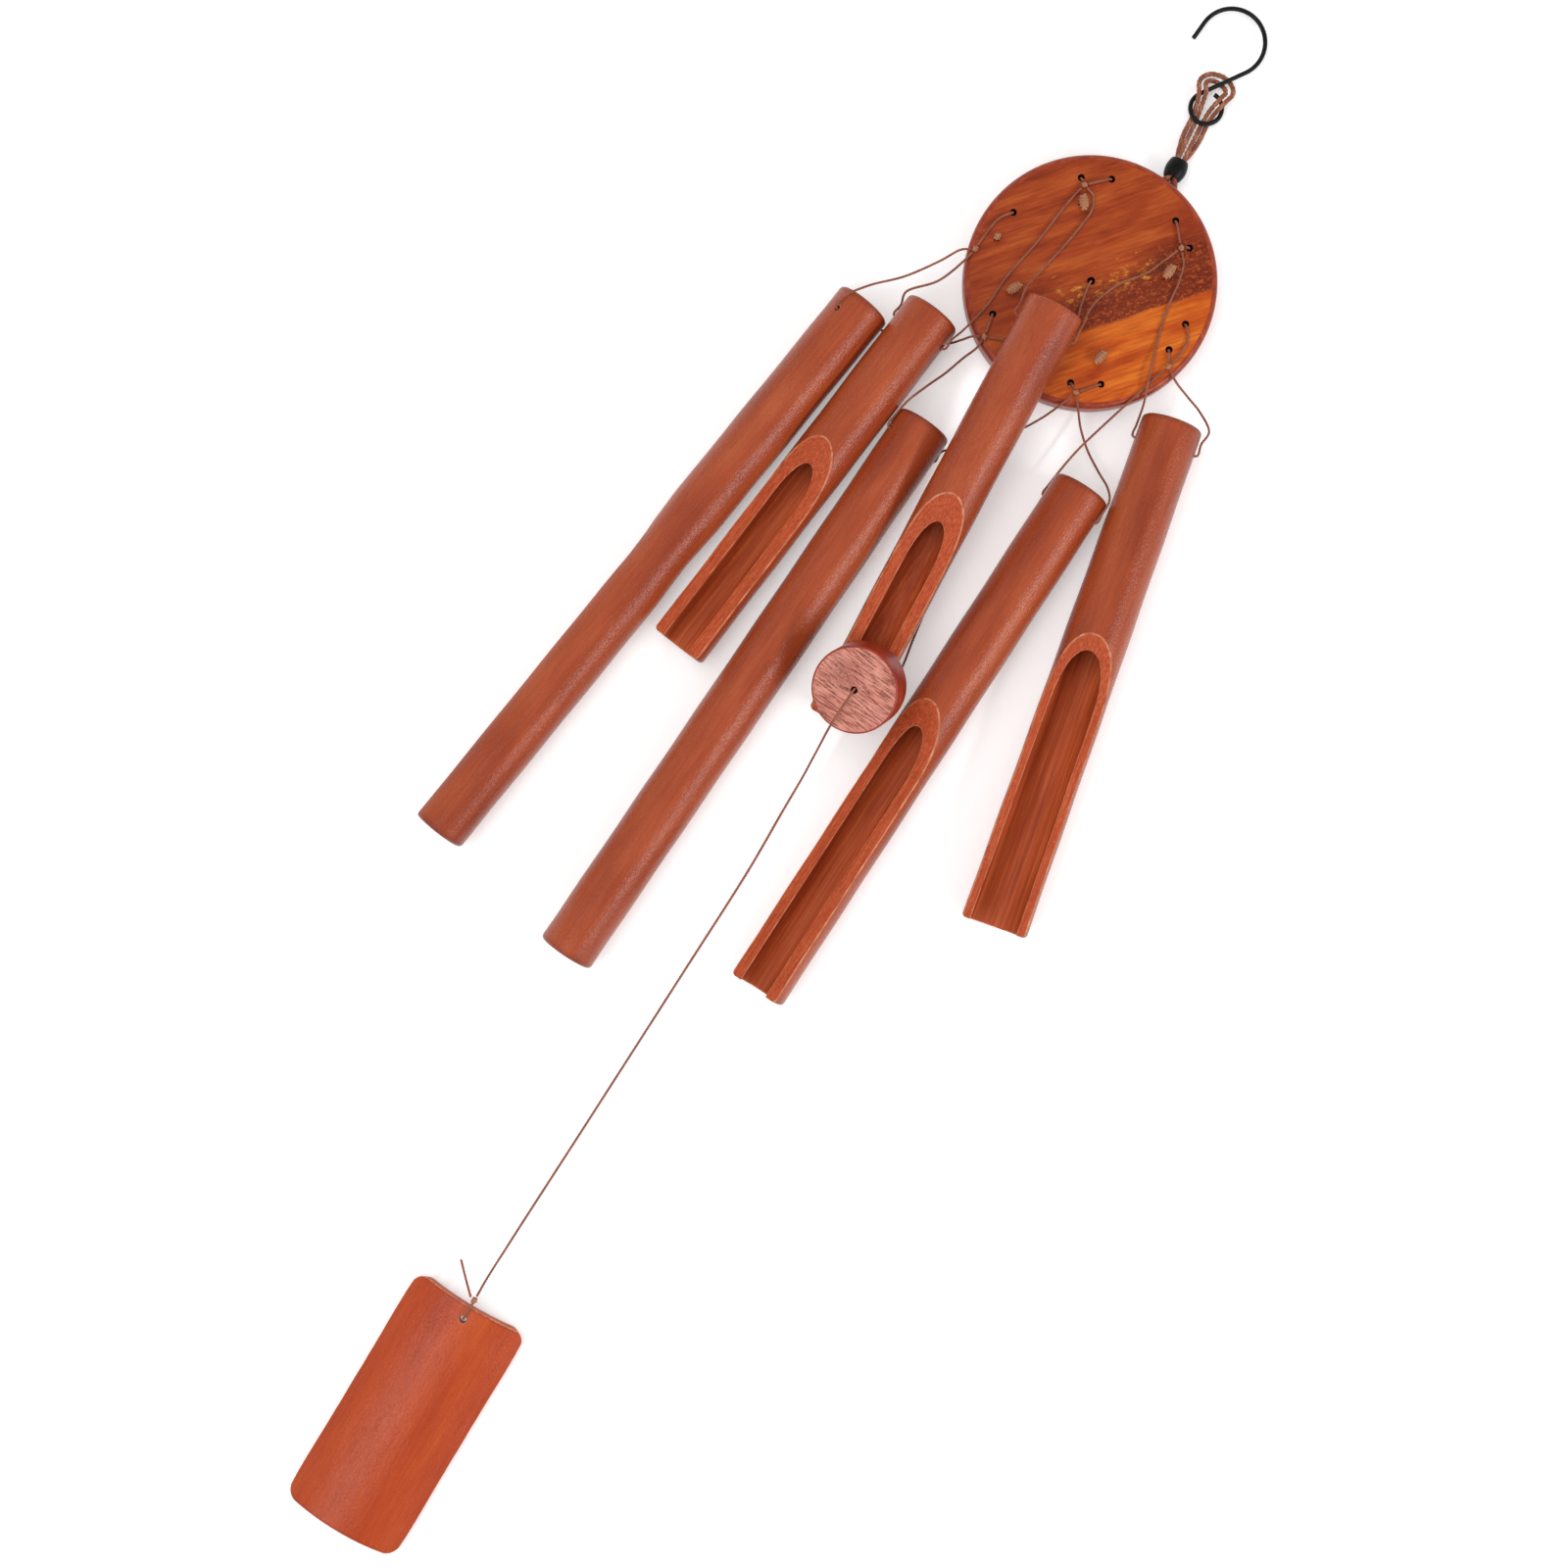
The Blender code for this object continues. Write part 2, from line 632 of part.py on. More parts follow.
def striker_place(third):
    """The centre of the striker's upper face, its normal, and its frame."""
    tube = TUBES[3]
    foot = third.hinge + third.along * (tube.length - HANG_DROP)
    tilt = radians(STRIKER_TILT)
    normal = polar(sin(tilt), STRIKER_LEAN, cos(tilt))
    low = foot.z + SCOOP_HEIGHT + STRIKER_GAP
    height = low + STRIKER_D / 2 * sin(tilt) + STRIKER_T * cos(tilt)
    centre = Vector((STRIKER_X, foot.y + STRIKER_BACK, height))
    return centre, normal, Vector((0, 0, 1)).rotation_difference(normal).to_matrix()


def make_striker(third, finish, root):
    centre, normal, frame = striker_place(third)
    pivot = empty("striker_hinge", Vector((0, 0, ON_FACE)), root)
    hole = STRIKER_HOLE_D / 2
    profile = [(hole, 0), *rounded(STRIKER_D / 2, 0, STRIKER_EDGE, True),
               *rounded(STRIKER_D / 2, -STRIKER_T, STRIKER_EDGE, False), (hole, -STRIKER_T)]
    mesh = turned_mesh("striker", profile, STRIKER_SIDES, ring=True)
    smooth(add_object("striker", mesh, finish, pivot, centre, frame))
    return pivot, centre, normal


STRIKER_ROUTE = (
    (0.0004, -0.0050, ON_FACE), (0.0022, -0.0130, ON_FACE), (0.0050, -0.0215, ON_FACE),
    (0.0058, -0.0330, ON_FACE), (0.0062, -0.0480, ON_FACE), (0.0062, -0.0535, 0.0154),
    (0.0063, -0.0585, 0.0085), (0.0065, -0.0660, 0.0018), (0.0072, -0.0800, 0.0008),
    (0.0080, -0.0953, 0.0008), (0.0094, -0.1198, 0.0008), (0.0110, -0.1442, 0.0008),
    (0.0132, -0.1620, 0.0030), (0.0152, -0.1750, 0.0100), (0.0154, -0.1830, 0.0186),
    (0.0128, -0.1875, 0.0224), (0.0086, -0.1899, 0.0226),
)
SAIL_ROUTE = (
    (0.0026, -0.2010, 0.0400), (0.0022, -0.2080, 0.0374), (0.0022, -0.2150, 0.0346),
    (0.0026, -0.2220, 0.0260), (0.0030, -0.2290, 0.0150), (0.0034, -0.2360, 0.0058),
    (0.0035, -0.2430, 0.0018), (0.0036, -0.2520, 0.0009), (0.0041, -0.2804, 0.0009),
    (0.0028, -0.3299, 0.0009), (0.0006, -0.4058, 0.0009), (-0.0012, -0.4620, 0.0009),
    (-0.0014, -0.4700, 0.0012), (-0.0016, -0.4770, 0.0040), (-0.0017, -0.4830, 0.0080),
)


def make_striker_cord(pivot, centre, normal, finish):
    """From the stop knot through the disc, over its face and the table, into the striker."""
    back = centre - normal * STRIKER_T
    start = [Vector((0, 0, DISC_LIFT + CORD_D)), Vector((0, 0, DISC_FACE - CORD_D)),
             Vector((0, -CORD_D * LIP_START, ON_FACE)), Vector((0, -CORD_D * LIP_END, ON_FACE + GAP))]
    end = [back - normal * CORD_D, back + normal * STRIKER_T * STRIKER_CORD_IN]
    cord("striker_cord", [*start, *STRIKER_ROUTE, *end], finish, pivot)


def sail_mesh():
    """A plate bent round the culm, with rounded corners, its convex side up."""
    half_turn = asin(SAIL_WIDTH / 2 / SAIL_RADIUS)
    half_width = half_turn * SAIL_RADIUS
    flat = half_width - SAIL_CORNER
    spots = [flat * (2 * i / SAIL_COLUMNS - 1) for i in range(SAIL_COLUMNS + 1)]
    turns = [pi / 2 * i / CORNER_STEPS for i in range(1, CORNER_STEPS + 1)]
    bends = [flat + SAIL_CORNER * sin(turn) for turn in turns]
    spots = [-s for s in bends[::-1]] + spots + bends
    mesh = bpy.data.meshes.new("sail")
    work = bmesh.new()
    columns = []
    inner = SAIL_RADIUS - SAIL_T
    edge_height = inner * cos(half_turn)
    for spot in spots:
        past = max(0.0, abs(spot) - flat)
        end = SAIL_LENGTH / 2 - SAIL_CORNER + sqrt(max(0.0, SAIL_CORNER ** 2 - past ** 2))
        turn = spot / SAIL_RADIUS
        section = ((SAIL_RADIUS, end), (SAIL_RADIUS, -end), (inner, -end), (inner, end))
        columns.append([work.verts.new((radius * sin(turn), y, radius * cos(turn) - edge_height))
                        for radius, y in section])
    for left, right in zip(columns, columns[1:]):
        for i in range(4):
            work.faces.new((left[i], left[(i + 1) % 4], right[(i + 1) % 4], right[i]))
    work.faces.new(columns[0])
    work.faces.new(columns[-1])
    bmesh.ops.recalc_face_normals(work, faces=work.faces)
    work.to_mesh(mesh)
    work.free()
    return mesh


def sail_ridge():
    """Height of the sail's crown off the table that its two long edges lie on."""
    return SAIL_RADIUS - (SAIL_RADIUS - SAIL_T) * cos(asin(SAIL_WIDTH / 2 / SAIL_RADIUS))


def off_knot(knot, x, y, z):
    """A point just off the sail's knot, in the given direction."""
    return knot + Vector((x, y, z)).normalized() * (SAIL_KNOT_D / 2 + GAP)


def make_sail(finish, pivot, centre):
    """The sail with its hole, and the places of that hole and of the knot above it."""
    middle = Vector((SAIL_X, centre.y - SAIL_DOWN - SAIL_LENGTH / 2, 0))
    sail = add_object("sail", sail_mesh(), finish, pivot, middle)
    from_middle = Vector((0, SAIL_LENGTH / 2 - SAIL_HOLE_INSET, 0))
    drill = rod_mesh("drill", SAIL_HOLE_D, SAIL_RADIUS * 2, HOLE_SIDES)
    cut(sail, drill, Matrix.Translation(from_middle))
    smooth(sail)
    hole = middle + from_middle
    past_hole = SAIL_HOLE_INSET + SAIL_KNOT_CLEAR + SAIL_KNOT_D / 2
    return hole, hole + Vector((0, past_hole, sail_ridge() - SAIL_KNOT_SINK))


# The loose tail's points from the knot, and where it comes to lie on the table
TAIL_ROUTE = ((-0.0055, 0.0035, -0.0012), (-0.0100, 0.0065, -0.0065))
TAIL_END = (-0.0135, 0.0090)


def make_sail_cords(finish, knot_finish, pivot, hole, knot, centre, normal):
    """The knot above the sail, the loop through its hole, the loose tail and the long cord."""
    lump("sail_knot", (SAIL_KNOT_D,) * 3, knot, knot_finish, pivot)
    ridge = sail_ridge()
    over = ridge + GAP + CORD_D / 2
    under = ridge - SAIL_T - GAP - CORD_D / 2
    edge = hole.y + SAIL_HOLE_INSET
    shaft = [(hole.x, hole.y, ridge - SAIL_T * share) for share in LOOP_IN_HOLE]
    loop = [off_knot(knot, 0, -3, 4), (hole.x, edge - SAIL_HOLE_INSET * LOOP_BACK_OVER, over + GAP),
            (hole.x, hole.y + CORD_D, over), *shaft, (hole.x, hole.y + CORD_D, under),
            (hole.x, edge - SAIL_HOLE_INSET * LOOP_BACK_UNDER, under - GAP),
            (hole.x, edge + CORD_D * LOOP_PAST_EDGE, under - CORD_D * LOOP_SAG),
            off_knot(knot, 0, -3, -4)]
    cord("sail_loop", loop, finish, pivot)
    tail = [off_knot(knot, -5, 1, 0), *(knot + Vector(p) for p in TAIL_ROUTE),
            (knot.x + TAIL_END[0], knot.y + TAIL_END[1], ON_TABLE + GAP)]
    cord("sail_tail", tail, finish, pivot)
    route = [centre - normal * STRIKER_T * SAIL_CORD_IN, centre + normal * CORD_D, *SAIL_ROUTE,
             off_knot(knot, 0, 4, -3)]
    cord("sail_cord", route, finish, pivot)


def hanger_places():
    """Middles of the bead and of the hook's ring, and the ring's own right and up."""
    bead = polar(DISC_R + BEAD_CLEAR + BEAD_LENGTH / 2, HANGER_TURN, BEAD_D / 2)
    up = polar(1, RING_TURN)
    ring = bead + up * RING_FROM_BEAD
    ring.z = WIRE_Z
    return Hanger(bead, ring, clockwise(RING_TURN), up)


def make_bead(hanger, finish, pivot):
    half = BEAD_LENGTH / 2
    bore = BEAD_BORE / 2
    side = []
    for i in range(BEAD_ROWS + 1):
        share = 2 * i / BEAD_ROWS - 1
        radius = BEAD_D / 2 - (BEAD_D - BEAD_END_D) / 2 * share ** 2
        side.append((radius, -half * share))
    mesh = turned_mesh("bead", [(bore, half), *side, (bore, -half)], BEAD_SIDES, ring=True)
    frame = Matrix((hanger.right, hanger.up.cross(hanger.right), hanger.up)).transposed()
    smooth(add_object("bead", mesh, finish, pivot, hanger.bead, frame))


def make_hook(hanger, finish, root):
    """One bent wire: tip, hook, shank, and a ring that closes against the shank."""
    pivot = empty("hook_hinge", hanger.ring, root)
    toward = radians(RING_START - 90)
    shank_way = Vector((cos(toward), sin(toward)))
    ring_end = Vector((cos(radians(RING_START)), sin(radians(RING_START)))) * RING_RADIUS
    shank_top = ring_end + shank_way * SHANK_LENGTH
    inward = Vector((-shank_way.y, shank_way.x))
    bend = shank_top + inward * HOOK_RADIUS
    first = atan2(-inward.y, -inward.x)
    arc = [first + radians(HOOK_TURN) * i / HOOK_STEPS for i in range(HOOK_STEPS + 1)]
    last = Vector((-sin(arc[-1]), cos(arc[-1])))
    tip = bend + Vector((cos(arc[-1]), sin(arc[-1]))) * HOOK_RADIUS
    outline = [tip + last * TIP_LENGTH, tip + last * TIP_LENGTH / 2]
    outline += [bend + Vector((cos(a), sin(a))) * HOOK_RADIUS for a in arc[::-1]]
    outline += [shank_top.lerp(ring_end, i / SHANK_STEPS) for i in range(1, SHANK_STEPS)]
    for i in range(RING_STEPS + 1):
        turn = radians(RING_START + RING_SPAN * i / RING_STEPS)
        outline.append(Vector((cos(turn), sin(turn))) * RING_RADIUS)
    points = [hanger.ring + hanger.right * p.x + hanger.up * p.y for p in outline]
    tube_along("hook", points, WIRE_D, finish, pivot)


# Hanger cords: under the disc to the bead, then in the ring's own frame round the hitch
UNDER_ROUTES = {
    "1": ((-0.0150, 0.0310, 0.0013), (-0.0070, 0.0420, 0.0013), (0.0002, 0.0490, 0.0013),
          (0.0029, 0.0522, 0.0015), (0.0037, 0.0542, 0.0030), (0.0046, 0.0557, 0.0047)),
    "2": ((0.0220, 0.0250, 0.0013), (0.0170, 0.0330, 0.0013), (0.0140, 0.0395, 0.0013),
          (0.0126, 0.0460, 0.0013), (0.0112, 0.0522, 0.0015), (0.0102, 0.0542, 0.0030),
          (0.0091, 0.0557, 0.0047)),
    "3": ((0.0185, -0.0210, 0.0013), (0.0180, -0.0080, 0.0013), (0.0145, 0.0150, 0.0013),
          (0.0108, 0.0370, 0.0013), (0.0094, 0.0460, 0.0013), (0.0084, 0.0515, 0.0014),
          (0.0080, 0.0545, 0.0020)),
    "4": ((-0.0238, -0.0150, 0.0013), (-0.0205, -0.0060, 0.0013), (-0.0120, 0.0130, 0.0013),
          (-0.0030, 0.0340, 0.0013), (0.0032, 0.0460, 0.0013), (0.0052, 0.0515, 0.0014),
          (0.0058, 0.0545, 0.0020)),
}
HITCH_ROUTES = {
    "inner": ((-0.0014, -0.0120, 0.0022), (-0.0014, -0.0066, 0.0011), (-0.0019, -0.0015, 0.0026),
              (-0.0026, 0.0026, 0.0052), (-0.0032, 0.0056, 0.0060), (-0.0046, 0.0082, 0.0050),
              (-0.0043, 0.0107, 0.0028), (-0.0020, 0.0124, 0.0013), (0.0010, 0.0122, 0.0011),
              (0.0036, 0.0110, 0.0019), (0.0045, 0.0087, 0.0038), (0.0038, 0.0064, 0.0058),
              (0.0029, 0.0036, 0.0056), (0.0017, -0.0010, 0.0030), (0.0014, -0.0066, 0.0011),
              (0.0014, -0.0120, 0.0022)),
    "outer": ((-0.0026, -0.0200, 0.0026), (-0.0036, -0.0125, 0.0015), (-0.0035, -0.0062, 0.0011),
              (-0.0037, -0.0036, 0.0014), (-0.0041, -0.0010, 0.0032), (-0.0049, 0.0016, 0.0056),
              (-0.0060, 0.0044, 0.0060), (-0.0074, 0.0078, 0.0049), (-0.0070, 0.0114, 0.0028),
              (-0.0042, 0.0146, 0.0013), (0.0004, 0.0156, 0.0011), (0.0036, 0.0150, 0.0011),
              (0.0064, 0.0128, 0.0019), (0.0074, 0.0095, 0.0038), (0.0064, 0.0060, 0.0058),
              (0.0056, 0.0036, 0.0060), (0.0048, 0.0012, 0.0056), (0.0041, -0.0010, 0.0032),
              (0.0037, -0.0036, 0.0014), (0.0035, -0.0062, 0.0011), (0.0036, -0.0125, 0.0015),
              (0.0026, -0.0200, 0.0026)),
}

# Each hanger cord: its hitch, the holes of its two ends, and its layer in the bead
HANGER_CORDS = {"hanger_cord_1": ("inner", "12", 1), "hanger_cord_2": ("outer", "43", -1)}


def hanger_side(number, hanger, side, level):
    """One strand from its knot under the disc and through the bead."""
    hole = hanger_hole(number)
    way = Vector(UNDER_ROUTES[number][0]) - hole
    way.z = 0
    drop = hole + way.normalized() * HANGER_CORD_D * HANGER_LIP_ALONG
    drop.z = HANGER_CORD_D * HANGER_LIP_UP
    shaft = [hole + Vector((0, 0, DISC_FACE - GAP)), hole + Vector((0, 0, DISC_LIFT)), drop]
    lane = hanger.bead + hanger.right * side + Vector((0, 0, level))
    inside = [lane + hanger.up * BEAD_LENGTH * share for share in (-BEAD_PASS, BEAD_PASS)]
    return [*shaft, *(Vector(p) for p in UNDER_ROUTES[number]), *inside]


def make_hanger_cords(hanger, finish, pivot):
    flat = Vector((hanger.ring.x, hanger.ring.y, 0))
    off = HANGER_CORD_D / 2 + GAP / 2
    for name, (hitch, holes, layer) in HANGER_CORDS.items():
        turns = [flat + hanger.right * x + hanger.up * y + Vector((0, 0, z))
                 for x, y, z in HITCH_ROUTES[hitch]]
        there = hanger_side(holes[0], hanger, -off, layer * off)
        back = hanger_side(holes[1], hanger, off, layer * off)[::-1]
        cord(name, [*there, *turns, *back], finish, pivot, HANGER_CORD_D)


def centre_on_floor(root):
    """Move the layout so that its origin lies under the middle of the rigid pieces."""
    rigid = [o for o in bpy.context.collection.objects if o.type == "MESH" or o.name == "hook"]
    bpy.context.view_layer.update()
    graph = bpy.context.evaluated_depsgraph_get()
    corners = []
    for piece in rigid:
        ready = piece.evaluated_get(graph)
        corners += [piece.matrix_world @ v.co for v in ready.to_mesh().vertices]
        ready.to_mesh_clear()
    spans = [(min(c[i] for c in corners), max(c[i] for c in corners)) for i in range(3)]
    root.location = (-sum(spans[0]) / 2, -sum(spans[1]) / 2, -spans[2][0])


def main():
    for old in list(bpy.data.objects):
        bpy.data.objects.remove(old)
    bamboo = material("stained_bamboo", (0.376, 0.071, 0.023), 0.38)
    wood = material("disc_wood", (0.40, 0.10, 0.03), 0.42)
    saw_cut = material("striker_wood", (0.51, 0.16, 0.11), 0.60)
    wire = material("black_wire", (0.012, 0.012, 0.013), 0.35, 0.6)
    bead = material("black_bead", (0.010, 0.010, 0.011), 0.40)
    brown_cord = material("brown_cord", (0.155, 0.053, 0.032), 0.85)
    tan_cord = material("tan_cord", (0.376, 0.188, 0.091), 0.85)
    root = empty("layout", Vector())
    make_disc(wood, root)
    make_knots(tan_cord, root)
    make_pair_loops(brown_cord, root)
    tops = lay_tubes()
    places = {number: place_tube(number, top) for number, top in tops.items()}
    for number in TUBES:
        make_tube(number, places[number], bamboo, root)
        make_tube_cord(number, places[number], brown_cord, root)
    striker_pivot, centre, normal = make_striker(places[3], saw_cut, root)
    make_striker_cord(striker_pivot, centre, normal, brown_cord)
    sail_pivot = empty("sail_hinge", centre, root)
    sail_hole, sail_knot = make_sail(bamboo, sail_pivot, centre)
    make_sail_cords(brown_cord, tan_cord, sail_pivot, sail_hole, sail_knot, centre, normal)
    hanger = hanger_places()
    hanger_pivot = empty("hanger_hinge", polar(DISC_R + BEAD_CLEAR / 2, HANGER_TURN, BEAD_D / 2), root)
    make_bead(hanger, bead, hanger_pivot)
    make_hanger_cords(hanger, tan_cord, hanger_pivot)
    make_hook(hanger, wire, root)
    centre_on_floor(root)


main()
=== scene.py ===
"""Looks of the bamboo wind chime, laid out flat on a white table and seen from above."""
import json
from collections import namedtuple
from math import asin, atan2, ceil, cos, exp, pi, radians, sin, sqrt

import bmesh
import bpy
from mathutils import Matrix, Vector

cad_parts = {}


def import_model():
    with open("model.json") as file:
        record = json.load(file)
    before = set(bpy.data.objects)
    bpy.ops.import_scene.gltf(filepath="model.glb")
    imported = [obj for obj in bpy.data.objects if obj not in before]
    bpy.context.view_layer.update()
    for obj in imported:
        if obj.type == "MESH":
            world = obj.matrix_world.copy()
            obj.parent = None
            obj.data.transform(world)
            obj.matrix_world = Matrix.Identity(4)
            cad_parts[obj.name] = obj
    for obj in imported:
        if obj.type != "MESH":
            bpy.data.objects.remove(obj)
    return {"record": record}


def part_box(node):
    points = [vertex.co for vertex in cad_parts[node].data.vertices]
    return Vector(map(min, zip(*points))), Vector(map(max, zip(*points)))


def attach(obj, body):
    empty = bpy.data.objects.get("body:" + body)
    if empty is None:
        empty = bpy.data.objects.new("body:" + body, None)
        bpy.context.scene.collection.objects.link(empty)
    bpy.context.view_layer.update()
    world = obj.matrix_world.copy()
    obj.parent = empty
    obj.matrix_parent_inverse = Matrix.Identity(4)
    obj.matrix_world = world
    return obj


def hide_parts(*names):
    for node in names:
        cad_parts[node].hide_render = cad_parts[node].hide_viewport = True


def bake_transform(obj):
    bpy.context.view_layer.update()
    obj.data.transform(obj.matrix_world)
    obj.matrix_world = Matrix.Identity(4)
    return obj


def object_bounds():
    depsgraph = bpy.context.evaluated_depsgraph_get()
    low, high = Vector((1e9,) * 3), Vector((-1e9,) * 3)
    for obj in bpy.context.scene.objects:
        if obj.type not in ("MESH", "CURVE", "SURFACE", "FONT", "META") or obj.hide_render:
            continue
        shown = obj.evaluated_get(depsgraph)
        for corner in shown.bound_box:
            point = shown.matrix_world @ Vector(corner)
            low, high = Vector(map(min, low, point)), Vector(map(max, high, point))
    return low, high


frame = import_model()
CAD_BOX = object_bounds()
JOINTS = {joint["name"]: joint for joint in frame["record"]["behaviour"]["joints"]}


def node_box(node):
    low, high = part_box(node)
    return Vector(low), Vector(high)


def node_centre(node):
    low, high = node_box(node)
    return (low + high) / 2


def joint_place(name):
    return Vector(JOINTS[name]["pos_m"])


# The top disc gives the middle of the layout and the face that the cords lie on
DISC_LOW, DISC_HIGH = node_box("top_disc")
LAYOUT = Vector(((DISC_LOW.x + DISC_HIGH.x) / 2, (DISC_LOW.y + DISC_HIGH.y) / 2, 0))
DISC_R = (DISC_HIGH.x - DISC_LOW.x) / 2
DISC_FACE = DISC_HIGH.z
DISC_LIFT = DISC_LOW.z
DISC_T = DISC_FACE - DISC_LIFT

# Sizes that the solids were drawn with, in metres and degrees
GAP = 0.0003
CORD_D = 0.0011
HANGER_CORD_D = 0.0019
DISC_EDGE = 0.0025
PAIR_RADIUS = 0.0423
PAIR_SPACING = 0.0125
PAIR_HOLE_D = 0.0030
HANGER_HOLE_D = 0.0040
CENTRE_HOLE_D = 0.0034
PAIR_ANGLES = {"a": 118, "b": 178, "c": 58, "d": -2, "e": -62, "f": -122}
JOINED_PAIR = "b"
LOOP_INSET = 0.0010
TIE_D = 0.0030

Tube = namedtuple("Tube", "length top_d bottom_d wall scoop roll")
TUBES = {
    1: Tube(0.2800, 0.0240, 0.0240, 0.0046, 0.1150, 125),
    2: Tube(0.1735, 0.0246, 0.0246, 0.0046, 0.0695, 15),
    3: Tube(0.1905, 0.0242, 0.0242, 0.0046, 0.0860, 3),
    4: Tube(0.2645, 0.0242, 0.0242, 0.0046, 0.1110, 155),
    5: Tube(0.2470, 0.0250, 0.0250, 0.0046, 0.1080, 25),
    6: Tube(0.2210, 0.0256, 0.0284, 0.0033, 0.0930, 10),
}
TUBE_EDGE = 0.0018
SCOOP_RUN = 0.034
SCOOP_HEIGHT = 0.0045
CUP_DEPTH = 0.024
SEPTUM = 0.003
HANG_DROP = 0.010
HANG_HOLE_D = 0.0024

STRIKER_D = 0.0360
STRIKER_T = 0.0160
STRIKER_EDGE = 0.0008
STRIKER_HOLE_D = 0.0030
STRIKER_TILT = 20
STRIKER_LEAN = 246
STRIKER_CORD_IN = 0.3
SAIL_CORD_IN = 0.5

SAIL_RADIUS = 0.0475
SAIL_T = 0.005
SAIL_CORNER = 0.0060
SAIL_HOLE_D = 0.0030
SAIL_HOLE_INSET = 0.0060

BEAD_D = 0.0092
BEAD_END_D = 0.0074
BEAD_BORE = 0.0060
BEAD_LENGTH = 0.0080
BEAD_PASS = 0.4
RING_TURN = 94.6
WIRE_D = 0.0020
RING_RADIUS = 0.0066
RING_START = 141
RING_SPAN = 305
SHANK_LENGTH = 0.0211
HOOK_RADIUS = 0.0140
HOOK_TURN = 210
TIP_LENGTH = 0.0080

# How a cord turns out of a hole, in cord diameters along and up
LIP_START = 0.6
LIP_END = 2.2
HANGER_LIP_ALONG = 0.4
HANGER_LIP_UP = 0.8

# Fineness of the meshes
ROUND_SIDES = 96
DISC_SIDES = 192
BEAD_SIDES = 48
TUBE_SIDES = 80
BORE_SIDES = 64
HOLE_SIDES = 20
EDGE_STEPS = 8
SCOOP_STEPS = 24
STRAND_SIDES = 6
TURN_STEPS = 8
SHARP_ANGLE = 18
STRIKER_SHARP = 35
BEAD_SHARP = 50
BEVEL_ANGLE = 22
BEVEL_STEPS = 2
CURVE_PIECES = 16

ON_FACE = DISC_FACE + GAP + CORD_D / 2
ON_TABLE = GAP / 2 + CORD_D / 2
UNDER_DISC = DISC_LIFT - CORD_D - GAP


def polar(radius, degrees, z=0.0):
    turn = radians(degrees)
    return Vector((radius * cos(turn), radius * sin(turn), z))


def clockwise(degrees):
    turn = radians(degrees)
    return Vector((sin(turn), -cos(turn), 0))


# Node tools for the materials: how far apart the pieces' patterns lie, and most of a noise's span
VARIETY = 50.0
NOISE_SPAN = (0.3, 0.7)
WHITE = (1, 1, 1, 1)


def rgb(red, green, blue):
    """A screen colour, 0 to 255, as the linear colour that the shader takes."""
    def linear(value):
        share = value / 255
        return share / 12.92 if share <= 0.04045 else ((share + 0.055) / 1.055) ** 2.4
    return (linear(red), linear(green), linear(blue), 1.0)


